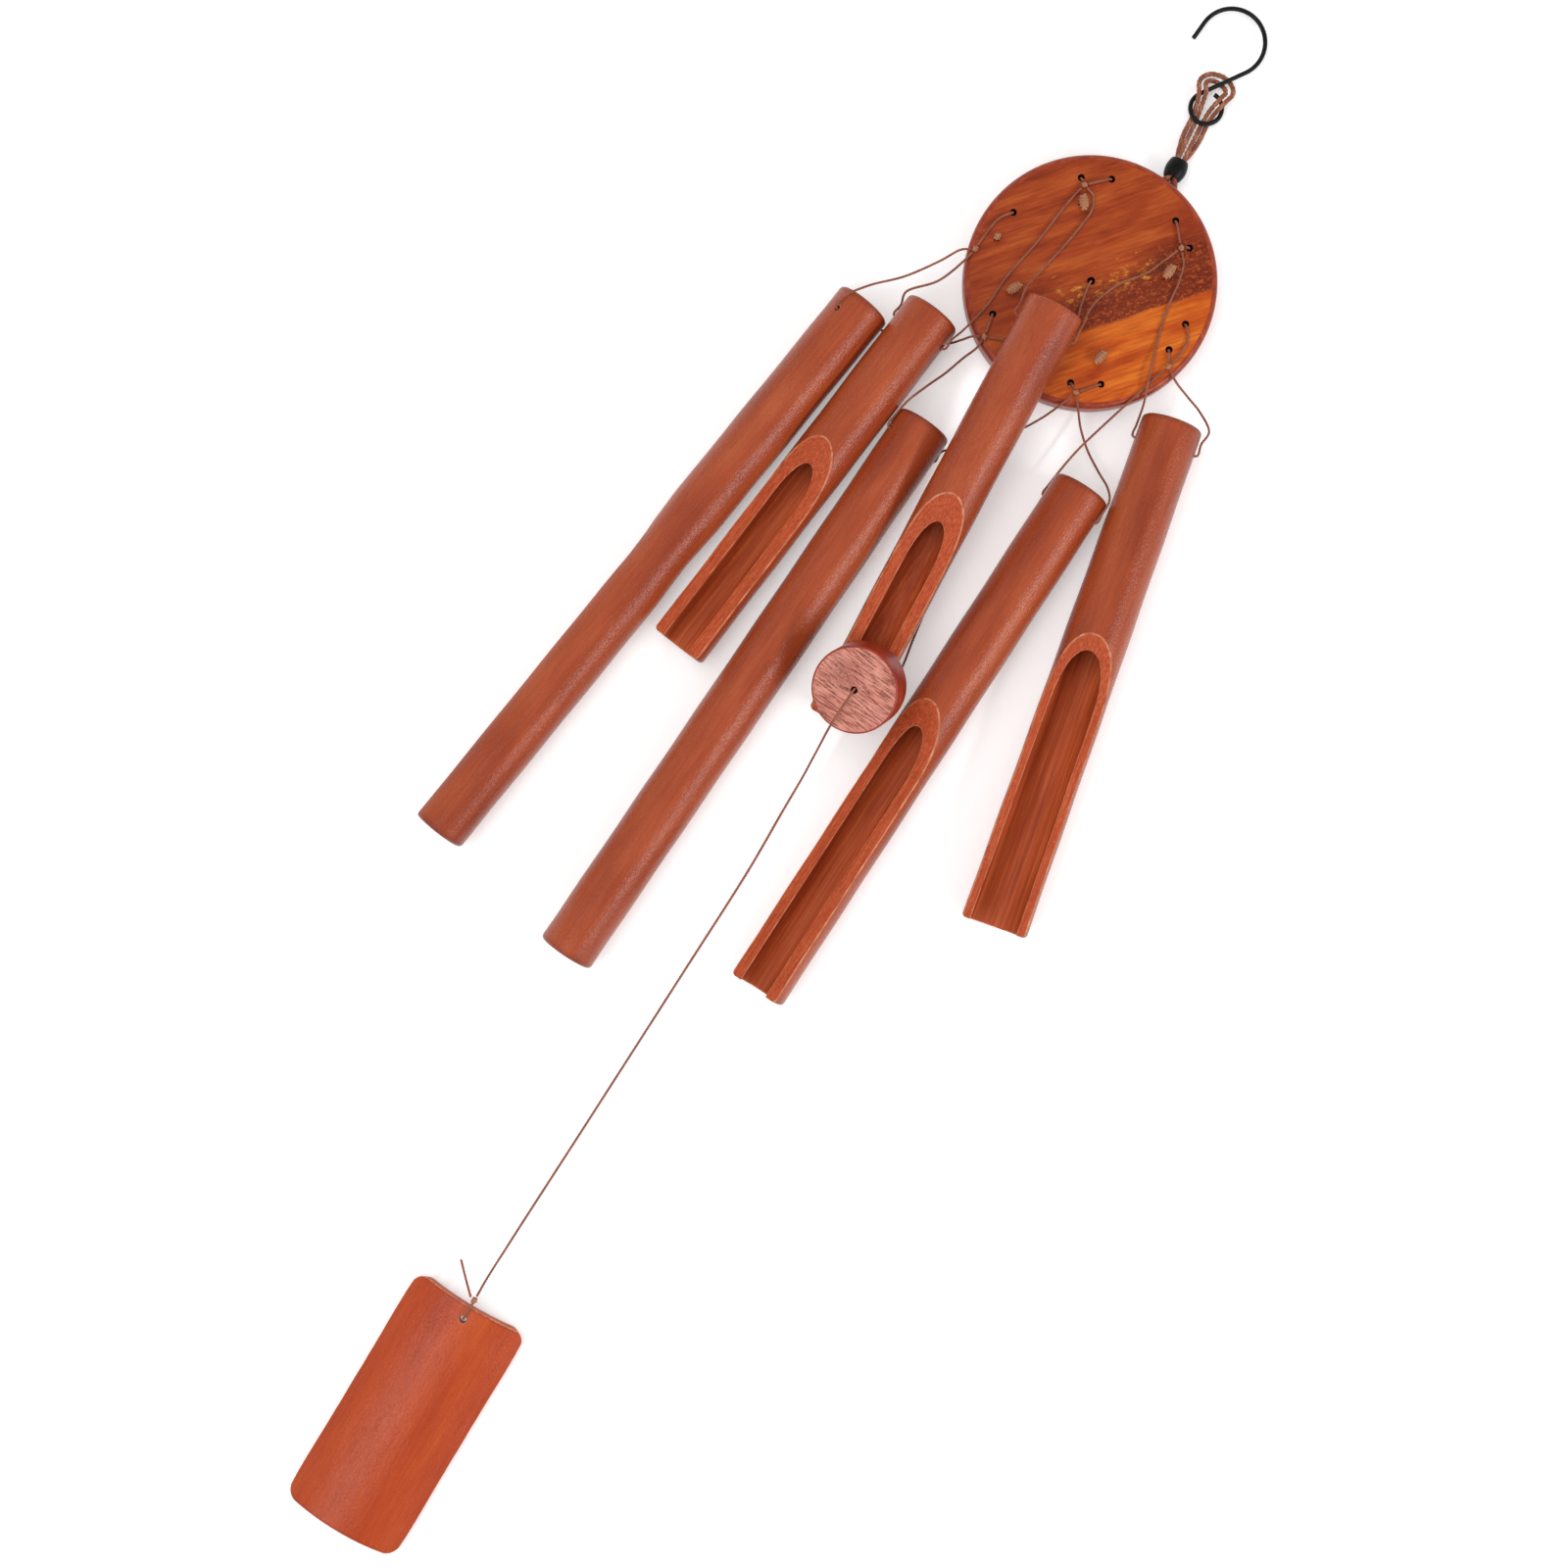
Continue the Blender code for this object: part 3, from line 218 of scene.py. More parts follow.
class Look:
    """A material and short ways to add its nodes."""

    def __init__(self, name):
        self.material = bpy.data.materials.new(name)
        self.material.use_nodes = True
        self.tree = self.material.node_tree
        self.shader = self.tree.nodes["Principled BSDF"]

    def add(self, kind, inputs, **settings):
        made = self.tree.nodes.new(kind)
        for key, value in settings.items():
            setattr(made, key, value)
        for socket, value in inputs.items():
            self.fill(made.inputs[socket], value)
        return made

    def fill(self, socket, value):
        """Link a node's output to a socket, or set the socket to a plain value."""
        if isinstance(value, bpy.types.NodeSocket):
            self.tree.links.new(value, socket)
        else:
            socket.default_value = value

    def coords(self, kind="Object"):
        return self.add("ShaderNodeTexCoord", {}).outputs[kind]

    def placed(self, stretch=(1, 1, 1), turn=0.0):
        inputs = {"Vector": self.coords(), "Scale": stretch, "Rotation": (0, 0, radians(turn))}
        return self.add("ShaderNodeMapping", inputs, vector_type="TEXTURE").outputs[0]

    def variety(self):
        """A number that differs from piece to piece."""
        chance = self.add("ShaderNodeObjectInfo", {}).outputs["Random"]
        return self.times(chance, VARIETY)

    def math(self, operation, first, second=0.0):
        return self.add("ShaderNodeMath", {0: first, 1: second}, operation=operation).outputs[0]

    def times(self, first, second):
        return self.math("MULTIPLY", first, second)

    def noise(self, where, size, detail=4.0, roughness=0.55, shift=None):
        inputs = {"Vector": where, "Scale": 1 / size, "Detail": detail, "Roughness": roughness}
        if shift is not None:
            inputs["W"] = shift
        dimensions = "3D" if shift is None else "4D"
        return self.add("ShaderNodeTexNoise", inputs, noise_dimensions=dimensions).outputs[0]

    def ramp(self, share, *stops):
        made = self.add("ShaderNodeValToRGB", {"Fac": share})
        points = made.color_ramp.elements
        while len(points) < len(stops):
            points.new(0.5)
        for point, (place, colour) in zip(points, stops):
            point.position = place
            point.color = colour
        return made.outputs[0]

    def spread(self, share, low, high, to_low=0.0, to_high=1.0):
        inputs = {"Value": share, "From Min": low, "From Max": high, "To Min": to_low, "To Max": to_high}
        return self.add("ShaderNodeMapRange", inputs).outputs[0]

    def mix(self, share, first, second, blend="MIX"):
        inputs = {0: share, 6: first, 7: second}
        return self.add("ShaderNodeMix", inputs, data_type="RGBA", blend_type=blend).outputs[2]

    def over(self, colour, pattern, low, high, amount, top):
        """Lay a colour over another where a pattern runs from low to high."""
        return self.mix(self.spread(pattern, low, high, 0.0, amount), colour, top)

    def shade(self, colour, pattern, low, high, amount, tint):
        """Tint a colour where a pattern is low, fading out to where it is high."""
        lines = self.ramp(pattern, (low, tint), (high, WHITE))
        return self.mix(amount, colour, lines, "MULTIPLY")

    def bump(self, height, strength, distance, below=None):
        inputs = {"Height": height, "Strength": strength, "Distance": distance}
        if below is not None:
            inputs["Normal"] = below
        return self.add("ShaderNodeBump", inputs).outputs[0]

    def set(self, **sockets):
        for name, value in sockets.items():
            socket = self.shader.inputs[name.replace("_", " ").title().replace("Ior", "IOR")]
            self.fill(socket, value)

    def finish(self, colour, pattern, rough, **sockets):
        """Set the colour, a roughness that follows a pattern, and the rest; give the material."""
        self.set(base_color=colour, roughness=self.spread(pattern, *NOISE_SPAN, *rough), **sockets)
        return self.material


def bamboo_skin(name, dark, middle, light, speck):
    """Stained culm: soft mottling, faint fibres along it and a pitted satin lacquer."""
    look = Look(name)
    shift = look.variety()
    fibre = look.noise(look.placed((1, 1, 24)), 0.0006, 4.0, 0.55, shift)
    cloud = look.noise(look.placed((1, 1, 5)), 0.012, 3.0, 0.5, shift)
    pores = look.placed((1, 1, 1.6))
    pits = look.noise(pores, 0.0007, 2.0, 0.6, shift)
    spots = look.noise(pores, 0.0016, 2.0, 0.5, shift)
    colour = look.ramp(cloud, (0.28, dark), (0.5, middle), (0.74, light))
    colour = look.shade(colour, fibre, 0.32, 0.62, 0.7, rgb(226, 212, 204))
    colour = look.over(colour, pits, 0.60, 0.76, 0.4, speck)
    colour = look.over(colour, spots, 0.74, 0.79, 0.7, speck)
    along = look.add("ShaderNodeSeparateXYZ", {0: look.coords("Generated")}).outputs[2]
    end = look.math("ABSOLUTE", look.math("SUBTRACT", along, 0.5))
    colour = look.over(colour, end, 0.487, 0.502, 0.6, speck)
    bumps = look.bump(pits, 1.0, 0.00024, look.bump(fibre, 0.15, 0.00006))
    return look.finish(colour, pits, (0.20, 0.32), normal=bumps, specular_ior_level=0.38)


def bamboo_cut():
    """The sawn and sanded rim of a scoop: orange-red with open fibre ends."""
    look = Look("bamboo_cut")
    shift = look.variety()
    fibre = look.noise(look.placed((1, 1, 22)), 0.0006, 5.0, 0.65, shift)
    pits = look.noise(look.placed((1, 1, 3)), 0.0004, 2.0, 0.6, shift)
    colour = look.ramp(fibre, (0.28, rgb(150, 54, 26)), (0.5, rgb(184, 77, 40)), (0.74, rgb(206, 104, 64)))
    colour = look.over(colour, pits, 0.56, 0.72, 0.7, rgb(122, 40, 18))
    colour = look.over(colour, pits, 0.42, 0.28, 0.5, rgb(228, 136, 88))
    bumps = look.bump(pits, 0.45, 0.00015, look.bump(fibre, 0.5, 0.0002))
    return look.finish(colour, pits, (0.42, 0.60), normal=bumps, specular_ior_level=0.25)


def bamboo_bore():
    """The inner wall of a culm, brown with long fibres."""
    look = Look("bamboo_bore")
    shift = look.variety()
    fibre = look.noise(look.placed((1, 1, 40)), 0.0011, 5.0, 0.6, shift)
    cloud = look.noise(look.placed((1, 1, 5)), 0.007, 2.0, 0.5, shift)
    colour = look.ramp(fibre, (0.3, rgb(160, 64, 31)), (0.5, rgb(192, 88, 46)), (0.72, rgb(214, 114, 66)))
    colour = look.shade(colour, cloud, 0.3, 0.7, 0.5, rgb(176, 150, 138))
    bumps = look.bump(fibre, 0.5, 0.0003)
    return look.finish(colour, fibre, (0.40, 0.58), normal=bumps, specular_ior_level=0.25)


def bamboo_edge():
    """Rubbed corners, where the stain is thin."""
    look = Look("bamboo_edge")
    wear = look.noise(look.placed((1, 1, 3)), 0.0018, 4.0, 0.65, look.variety())
    colour = look.ramp(wear, (0.36, rgb(166, 74, 42)), (0.52, rgb(204, 122, 82)), (0.7, rgb(226, 160, 120)))
    return look.finish(colour, wear, (0.40, 0.55), normal=look.bump(wear, 0.2, 0.0001))


# The disc's figure lies along this heading; its bands are measured across it from the centre
DISC_GRAIN = 50
ORANGE_EDGE = -0.0190
DARK_TOP = -0.0045
GOLD_BAND = (-0.0065, 0.0005)
STRAY_BAND = (0.0035, 0.0068)
GOLD_SPAN = (-0.0150, 0.0270)
BAND_BLUR = 0.0014


def disc_band(look, value, low, high):
    """1 between two places, falling off softly on both sides."""
    rise = look.spread(value, low - BAND_BLUR, low + BAND_BLUR)
    return look.times(rise, look.spread(value, high + BAND_BLUR, high - BAND_BLUR))


def disc_wood():
    """Figured wood: brown, a dark speckled band, golden flecks and a bright orange side."""
    look = Look("disc_wood")
    parts = look.add("ShaderNodeSeparateXYZ", {0: look.placed((1, 1, 1), DISC_GRAIN)})
    warp = look.noise(look.placed((2, 1, 1), DISC_GRAIN), 0.012, 4.0, 0.55)
    across = look.math("ADD", parts.outputs[1], look.spread(warp, 0.2, 0.8, -0.0024, 0.0024))
    along = parts.outputs[0]
    grain = look.noise(look.placed((14, 1, 1), DISC_GRAIN), 0.0009, 6.0, 0.62)
    broad = look.noise(look.placed((5, 1, 1), DISC_GRAIN), 0.0065, 5.0, 0.6)
    specks = look.noise(look.placed((1.6, 1, 1), DISC_GRAIN), 0.0008, 3.0, 0.6)
    blots = look.noise(look.placed((2.0, 1, 1), DISC_GRAIN), 0.0020, 5.0, 0.65)
    brown = look.ramp(broad, (0.30, rgb(138, 48, 15)), (0.48, rgb(168, 67, 22)), (0.68, rgb(192, 92, 36)))
    orange = look.ramp(broad, (0.30, rgb(176, 62, 8)), (0.48, rgb(206, 92, 18)), (0.68, rgb(228, 124, 36)))
    is_orange = look.spread(across, ORANGE_EDGE + 0.0008, ORANGE_EDGE - 0.0008)
    top = look.spread(along, 0.012, 0.030, DARK_TOP, DARK_TOP + 0.008)
    is_dark = look.spread(look.math("SUBTRACT", across, top), 0.003, -0.003)
    is_dark = look.times(is_dark, look.spread(along, -0.022, -0.010))
    colour = look.mix(look.times(is_dark, 0.85), brown, rgb(112, 36, 13))
    dots = look.times(is_dark, look.spread(specks, 0.52, 0.62, 0.0, 0.7))
    colour = look.mix(dots, colour, rgb(196, 92, 38))
    colour = look.mix(is_orange, colour, orange)
    knots = look.times(is_orange, look.spread(blots, 0.70, 0.76, 0.0, 0.8))
    colour = look.mix(knots, colour, rgb(104, 32, 10))
    span = disc_band(look, along, *GOLD_SPAN)
    gold = look.times(disc_band(look, across, *GOLD_BAND), look.spread(blots, 0.50, 0.62))
    stray = look.times(disc_band(look, across, *STRAY_BAND), look.spread(blots, 0.60, 0.68))
    gold = look.times(look.math("MAXIMUM", gold, stray), span)
    shine = look.ramp(specks, (0.38, rgb(184, 92, 26)), (0.6, rgb(228, 160, 58)))
    colour = look.mix(look.times(gold, 0.9), colour, shine)
    colour = look.shade(colour, grain, 0.30, 0.6, 0.8, rgb(206, 178, 160))
    colour = look.over(colour, specks, 0.70, 0.77, 0.5, rgb(220, 126, 58))
    bumps = look.bump(specks, 0.12, 0.0001, look.bump(grain, 0.2, 0.0001))
    return look.finish(colour, grain, (0.32, 0.44), normal=bumps, specular_ior_level=0.3)


def disc_rim():
    """The turned edge of the disc, redder and plainer than its face."""
    look = Look("disc_rim")
    streak = look.noise(look.placed((1, 1, 0.25)), 0.0032, 5.0, 0.6)
    fine = look.noise(look.placed((1, 1, 0.4)), 0.0006, 3.0, 0.6)
    colour = look.ramp(streak, (0.3, rgb(130, 42, 20)), (0.52, rgb(158, 58, 28)), (0.74, rgb(182, 82, 42)))
    colour = look.over(colour, fine, 0.58, 0.72, 0.4, rgb(98, 32, 18))
    bumps = look.bump(fine, 0.2, 0.0001)
    return look.finish(colour, fine, (0.28, 0.40), normal=bumps, specular_ior_level=0.4)


def hole_painted_shade():
    """Drilled wood, painted near black as the shade down inside a hole, and rough."""
    look = Look("hole_painted_shade")
    rough = look.noise(look.coords(), 0.0006, 3.0)
    look.set(base_color=look.ramp(rough, (0.3, rgb(34, 14, 8)), (0.7, rgb(70, 28, 15))), roughness=0.8)
    look.set(normal=look.bump(rough, 0.4, 0.0002))
    return look.material


# Saw marks on the striker's faces run along this heading; a fuzzy patch lies beside the hole
SAW_HEADING = -4
FUZZY_PATCH = (-0.0075, 0.0035, 0.0)
FUZZY_REACH = 0.0085
FUZZY_CORE = FUZZY_REACH / 4


def striker_face():
    """Raw sawn face: pinkish brown, with torn fibres in rows along the saw's path."""
    look = Look("striker_face")
    rows = look.noise(look.placed((9, 1, 9), SAW_HEADING), 0.0008, 3.0, 0.6)
    tear = look.noise(look.placed((2.0, 1, 1), SAW_HEADING), 0.0005, 4.0, 0.7)
    cloud = look.noise(look.placed((2.4, 1, 1), SAW_HEADING), 0.008, 2.0, 0.5)
    colour = look.ramp(cloud, (0.3, rgb(208, 126, 108)), (0.7, rgb(228, 154, 136)))
    dents = look.times(look.spread(rows, 0.52, 0.40), look.spread(tear, 0.36, 0.54))
    pale = look.times(look.spread(rows, 0.50, 0.64), look.spread(tear, 0.48, 0.64))
    colour = look.mix(look.times(pale, 0.6), colour, rgb(240, 184, 166))
    near = look.add("ShaderNodeVectorMath", {0: look.coords(), 1: FUZZY_PATCH}, operation="DISTANCE")
    patch = look.spread(near.outputs["Value"], FUZZY_REACH, FUZZY_CORE)
    patch = look.times(patch, look.spread(tear, 0.40, 0.60))
    dents = look.math("MAXIMUM", dents, look.times(patch, 0.75))
    colour = look.mix(look.times(dents, 0.85), colour, rgb(120, 50, 40))
    height = look.math("SUBTRACT", look.times(tear, 0.4), dents)
    look.set(base_color=colour, roughness=0.72, normal=look.bump(height, 0.7, 0.0004))
    return look.material


def striker_side():
    """Smooth stained side of the striker."""
    look = Look("striker_side")
    grain = look.noise(look.placed((1, 1, 12)), 0.0008, 5.0, 0.6)
    cloud = look.noise(look.coords(), 0.009, 3.0)
    colour = look.ramp(cloud, (0.3, rgb(148, 44, 26)), (0.52, rgb(168, 56, 34)), (0.74, rgb(186, 76, 48)))
    colour = look.shade(colour, grain, 0.3, 0.6, 0.6, rgb(206, 186, 178))
    bumps = look.bump(grain, 0.25, 0.00012)
    return look.finish(colour, grain, (0.32, 0.45), normal=bumps, coat_weight=0.15, coat_roughness=0.3)


def black_paint():
    """Semi-gloss black enamel with a slight orange peel and dull rubbed spots."""
    look = Look("black_paint")
    peel = look.noise(look.coords(), 0.0007, 3.0)
    rub = look.noise(look.coords(), 0.004, 3.0, 0.6)
    colour = look.ramp(rub, (0.4, rgb(7, 7, 8)), (0.72, rgb(26, 25, 25)))
    look.set(base_color=colour, roughness=look.spread(rub, 0.35, 0.75, 0.28, 0.46))
    look.set(normal=look.bump(peel, 0.12, 0.00006), specular_ior_level=0.3)
    return look.material


def cut_steel():
    """Bare sheared end of the wire."""
    look = Look("cut_steel")
    shear = look.noise(look.placed((1, 8, 1)), 0.0004, 3.0)
    colour = look.ramp(shear, (0.3, rgb(88, 88, 88)), (0.7, rgb(150, 150, 148)))
    bumps = look.bump(shear, 0.3, 0.00008)
    return look.finish(colour, shear, (0.35, 0.55), normal=bumps, metallic=0.9)


def black_bead():
    """Turned bead, satin black with faint turning marks."""
    look = Look("black_bead")
    turning = look.noise(look.placed((1, 1, 0.15)), 0.0009, 3.0)
    dust = look.noise(look.coords(), 0.0006, 3.0, 0.6)
    colour = look.ramp(dust, (0.5, rgb(8, 8, 8)), (0.8, rgb(30, 27, 26)))
    bumps = look.bump(turning, 0.15, 0.00008)
    return look.finish(colour, dust, (0.34, 0.52), normal=bumps, specular_ior_level=0.2)


CORD_SHEEN = 0.03


def cord_fibre(name, dark, middle, light):
    """Twisted thread: fine fibres, slightly shiny, darker where it is dirty."""
    look = Look(name)
    fuzz = look.noise(look.coords(), 0.00022, 3.0, 0.65)
    stain = look.noise(look.coords(), 0.006, 3.0, 0.5)
    colour = look.ramp(fuzz, (0.28, dark), (0.52, middle), (0.76, light))
    colour = look.shade(colour, stain, 0.3, 0.65, 0.55, rgb(190, 172, 164))
    bumps = look.bump(fuzz, 0.6, 0.00008)
    return look.finish(colour, fuzz, (0.55, 0.80), normal=bumps, sheen_weight=CORD_SHEEN,
                       sheen_roughness=0.4)


SKIN = bamboo_skin("bamboo_skin", rgb(150, 60, 30), rgb(174, 77, 41), rgb(190, 94, 54), rgb(96, 34, 17))
SAIL_SKIN = bamboo_skin("sail_skin", rgb(180, 64, 22), rgb(192, 74, 27), rgb(202, 86, 34), rgb(84, 26, 12))
CUT = bamboo_cut()
BORE = bamboo_bore()
EDGE = bamboo_edge()
DISC_WOOD = disc_wood()
RIM_WOOD = disc_rim()
# Walls of the disc's and striker's holes, painted near black as the shade inside them
HOLE_PAINTED_SHADE = hole_painted_shade()
SAWN = striker_face()
SIDE_WOOD = striker_side()
PAINT = black_paint()
STEEL = cut_steel()
BLACK = black_bead()
BROWN_CORD = cord_fibre("brown_cord", rgb(108, 56, 40), rgb(162, 94, 70), rgb(208, 146, 116))
TAN_CORD = cord_fibre("tan_cord", rgb(124, 68, 46), rgb(198, 134, 98), rgb(238, 192, 154))


# Mesh tools

def finish_mesh(work, name, smooth=False):
    mesh = bpy.data.meshes.new(name)
    bmesh.ops.recalc_face_normals(work, faces=work.faces)
    work.to_mesh(mesh)
    work.free()
    if smooth:
        mesh.shade_smooth()
    return mesh


def soften(mesh, angle):
    """Shade a mesh smooth, except at edges sharper than an angle."""
    mesh.shade_smooth()
    mesh.set_sharp_from_angle(angle=radians(angle))
    return mesh


def add_piece(name, mesh, materials, body, nodes, place=None):
    """Link a mesh as a piece of a body that stands for some of the frame's nodes."""
    made = bpy.data.objects.new(name, mesh)
    for look in materials:
        mesh.materials.append(look)
    bpy.context.collection.objects.link(made)
    if place is not None:
        made.matrix_world = place
    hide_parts(*nodes)
    if body is not None:
        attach(made, body)
    return made


def turned_mesh(name, profile, sides, ring=False):
    """Turn (radius, z, material) points about Z; a point's material is of the band after it."""
    work = bmesh.new()
    rows = []
    for radius, z, look in profile:
        if radius == 0:
            rows.append([work.verts.new((0, 0, z))])
            continue
        step = 2 * pi / sides
        rows.append([work.verts.new((radius * cos(i * step), radius * sin(i * step), z))
                     for i in range(sides)])
    pairs = list(zip(rows, rows[1:]))
    if ring:
        pairs.append((rows[-1], rows[0]))
    for (upper, lower), (radius, z, look) in zip(pairs, profile):
        for i in range(sides):
            corners = [upper[i % len(upper)], lower[i % len(lower)],
                       lower[(i + 1) % len(lower)], upper[(i + 1) % len(upper)]]
            work.faces.new(list(dict.fromkeys(corners))).material_index = look
    return finish_mesh(work, name)


def prism_mesh(name, outline, low, high, look):
    """A closed outline of (y, z) points, extruded along X."""
    work = bmesh.new()
    near = [work.verts.new((low, y, z)) for y, z in outline]
    far = [work.verts.new((high, y, z)) for y, z in outline]
    work.faces.new(near)
    work.faces.new(far)
    for i in range(len(outline)):
        j = (i + 1) % len(outline)
        work.faces.new((near[i], near[j], far[j], far[i]))
    for face in work.faces:
        face.material_index = look
    return finish_mesh(work, name)


def drill_mesh(diameter, length, look):
    half = length / 2
    radius = diameter / 2
    profile = [(0, half, look), (radius, half, look), (radius, -half, look), (0, -half, look)]
    return turned_mesh("drill", profile, HOLE_SIDES)


# Cut edges shorter than this are joined before the corners are rubbed
WELD_WITHIN = 0.0003


def carve(mesh, cutters, materials, bevel=None):
    """The mesh with (cutter mesh, placing) pairs taken out and, for a bevel, its sharp edges rubbed."""
    target = bpy.data.objects.new("carved", mesh)
    bpy.context.collection.objects.link(target)
    helpers = []
    for cutter_mesh, placing in cutters:
        cutter = bpy.data.objects.new("cutter", cutter_mesh)
        for look in materials:
            cutter_mesh.materials.append(look)
        bpy.context.collection.objects.link(cutter)
        cutter.matrix_world = placing
        helpers.append(cutter)
        step = target.modifiers.new("cut", "BOOLEAN")
        step.operation = "DIFFERENCE"
        step.solver = "EXACT"
        step.object = cutter
    for look in materials:
        mesh.materials.append(look)
    if bevel is not None:
        width, look = bevel
        step = target.modifiers.new("joined", "WELD")
        step.merge_threshold = WELD_WITHIN
        step = target.modifiers.new("rubbed", "BEVEL")
        step.use_clamp_overlap = False
        step.width = width
        step.segments = BEVEL_STEPS
        step.limit_method = "ANGLE"
        step.angle_limit = radians(BEVEL_ANGLE)
        step.material = look
    bpy.context.view_layer.update()
    ready = target.evaluated_get(bpy.context.evaluated_depsgraph_get())
    result = bpy.data.meshes.new_from_object(ready)
    face_looks = [face.material_index for face in result.polygons]
    result.materials.clear()
    result.polygons.foreach_set("material_index", face_looks)
    for helper in [*helpers, target]:
        bpy.data.objects.remove(helper)
    return soften(result, SHARP_ANGLE)


def rounded(radius, z, edge, up, look):
    """Points of a rounded outer edge at height z, from the face to the side or back."""
    sign = 1 if up else -1
    points = []
    for i in range(EDGE_STEPS + 1):
        turn = pi / 2 * i / EDGE_STEPS
        points.append((radius - edge * (1 - sin(turn)), z - sign * edge * (1 - cos(turn)), look))
    return points if up else points[::-1]


def smooth_curve(points):
    """Close points on a smooth curve through the chosen ones."""
    chosen = [Vector(p) for p in points]
    chain = [chosen[0] * 2 - chosen[1], *chosen, chosen[-1] * 2 - chosen[-2]]
    fine = []
    for p0, p1, p2, p3 in zip(chain, chain[1:], chain[2:], chain[3:]):
        t1 = (p1 - p0).length ** 0.5
        t2 = t1 + (p2 - p1).length ** 0.5
        t3 = t2 + (p3 - p2).length ** 0.5
        for i in range(CURVE_PIECES):
            t = t1 + (t2 - t1) * i / CURVE_PIECES
            a1 = p0.lerp(p1, t / t1)
            a2 = p1.lerp(p2, (t - t1) / (t2 - t1))
            a3 = p2.lerp(p3, (t - t2) / (t3 - t2))
            b1 = a1.lerp(a2, t / t2)
            b2 = a2.lerp(a3, (t - t1) / (t3 - t1))
            fine.append(b1.lerp(b2, (t - t1) / (t2 - t1)))
    return [*fine, chosen[-1]]


def route_length(path):
    return sum((b - a).length for a, b in zip(path, path[1:]))


def evenly(path, spacing):
    """The path again, as points a fixed distance apart."""
    total = route_length(path)
    count = max(2, ceil(total / spacing))
    wanted = [total * i / count for i in range(count + 1)]
    result = []
    done = 0.0
    index = 0
    for goal in wanted:
        while index < len(path) - 2 and done + (path[index + 1] - path[index]).length < goal:
            done += (path[index + 1] - path[index]).length
            index += 1
        step = (path[index + 1] - path[index]).length
        share = min(1.0, (goal - done) / step) if step else 0.0
        result.append(path[index].lerp(path[index + 1], share))
    return result


def travelling_frames(path):
    """For each point of a path, two directions across it that don't spin along the way."""
    frames = []
    side = None
    for i, here in enumerate(path):
        ahead = path[min(i + 1, len(path) - 1)] - path[max(i - 1, 0)]
        ahead.normalize()
        if side is None:
            side = ahead.orthogonal().normalized()
        side = (side - ahead * side.dot(ahead)).normalized()
        frames.append((side, ahead.cross(side)))
    return frames


def sweep(work, centres, frames, radius, look=0, cap_look=None, sides=STRAND_SIDES):
    """A round tube through the centres, capped at both ends."""
    rings = []
    for centre, (across, up) in zip(centres, frames):
        ring = []
        for i in range(sides):
            turn = 2 * pi * i / sides
            ring.append(work.verts.new(centre + (across * cos(turn) + up * sin(turn)) * radius))
        rings.append(ring)
    for near, far in zip(rings, rings[1:]):
        for i in range(sides):
            j = (i + 1) % sides
            work.faces.new((near[i], near[j], far[j], far[i])).material_index = look
    for cap in (rings[0][::-1], rings[-1]):
        work.faces.new(cap).material_index = look if cap_look is None else cap_look


# Strand radius and offset, as shares of the cord's diameter, and its twist in diameters
STRANDS = 3
STRAND_SHARES = (0.29, 0.21)
TWIST_PITCH = 3.4


def lay_strands(work, path, diameter):
    """Add twisted strands along a path."""
    share, offset = STRAND_SHARES
    path = evenly(path, TWIST_PITCH * diameter / TURN_STEPS)
    frames = travelling_frames(path)
    for strand in range(STRANDS):
        centres = []
        for i, (here, (across, up)) in enumerate(zip(path, frames)):
            turn = 2 * pi * (i / TURN_STEPS + strand / STRANDS)
            centres.append(here + (across * cos(turn) + up * sin(turn)) * diameter * offset)
        sweep(work, centres, frames, diameter * share)


def twisted_mesh(name, path, diameter):
    work = bmesh.new()
    lay_strands(work, path, diameter)
    return finish_mesh(work, name, smooth=True)


# The braid: strands each way, its pitch in diameters, steps of a turn, and the strand's
# radius, the offset and the weave up and down as shares of the cord's diameter
BRAID_STRANDS = 4
BRAID_PITCH = 4.4
BRAID_STEPS = 16
BRAID_SHARES = (0.19, 0.33, 0.06)
BRAID_CORE = 0.33


def braided_mesh(name, path, diameter):
    """A round braid on a core, with one light strand wound each way."""
    share, offset, weave = BRAID_SHARES
    path = evenly(path, BRAID_PITCH * diameter / BRAID_STEPS)
    frames = travelling_frames(path)
    work = bmesh.new()
    for way in (1, -1):
        for strand in range(BRAID_STRANDS):
            centres = []
            for i, (here, (across, up)) in enumerate(zip(path, frames)):
                turn = 2 * pi * (way * i / BRAID_STEPS + strand / BRAID_STRANDS)
                reach = offset + way * weave * cos(2 * pi * BRAID_STRANDS * i / BRAID_STEPS)
                centres.append(here + (across * cos(turn) + up * sin(turn)) * diameter * reach)
            sweep(work, centres, frames, diameter * share, look=1 if strand == 0 else 0)
    sweep(work, path, frames, diameter * BRAID_CORE)
    return finish_mesh(work, name, smooth=True)


# A pulled-tight knot: steps of a turn, the turns' pitch in cords, how far the turns and the core
# fill it, the core's fineness, how much the ends taper, and how far the last turn slants on top
WRAP_STEPS = 20
WRAP_PITCH = 0.95
WRAP_FILL = 0.86
KNOT_CORE = 0.72
CORE_SPLITS = 3
KNOT_TAPER = 0.95
TOP_SLANT = 0.55


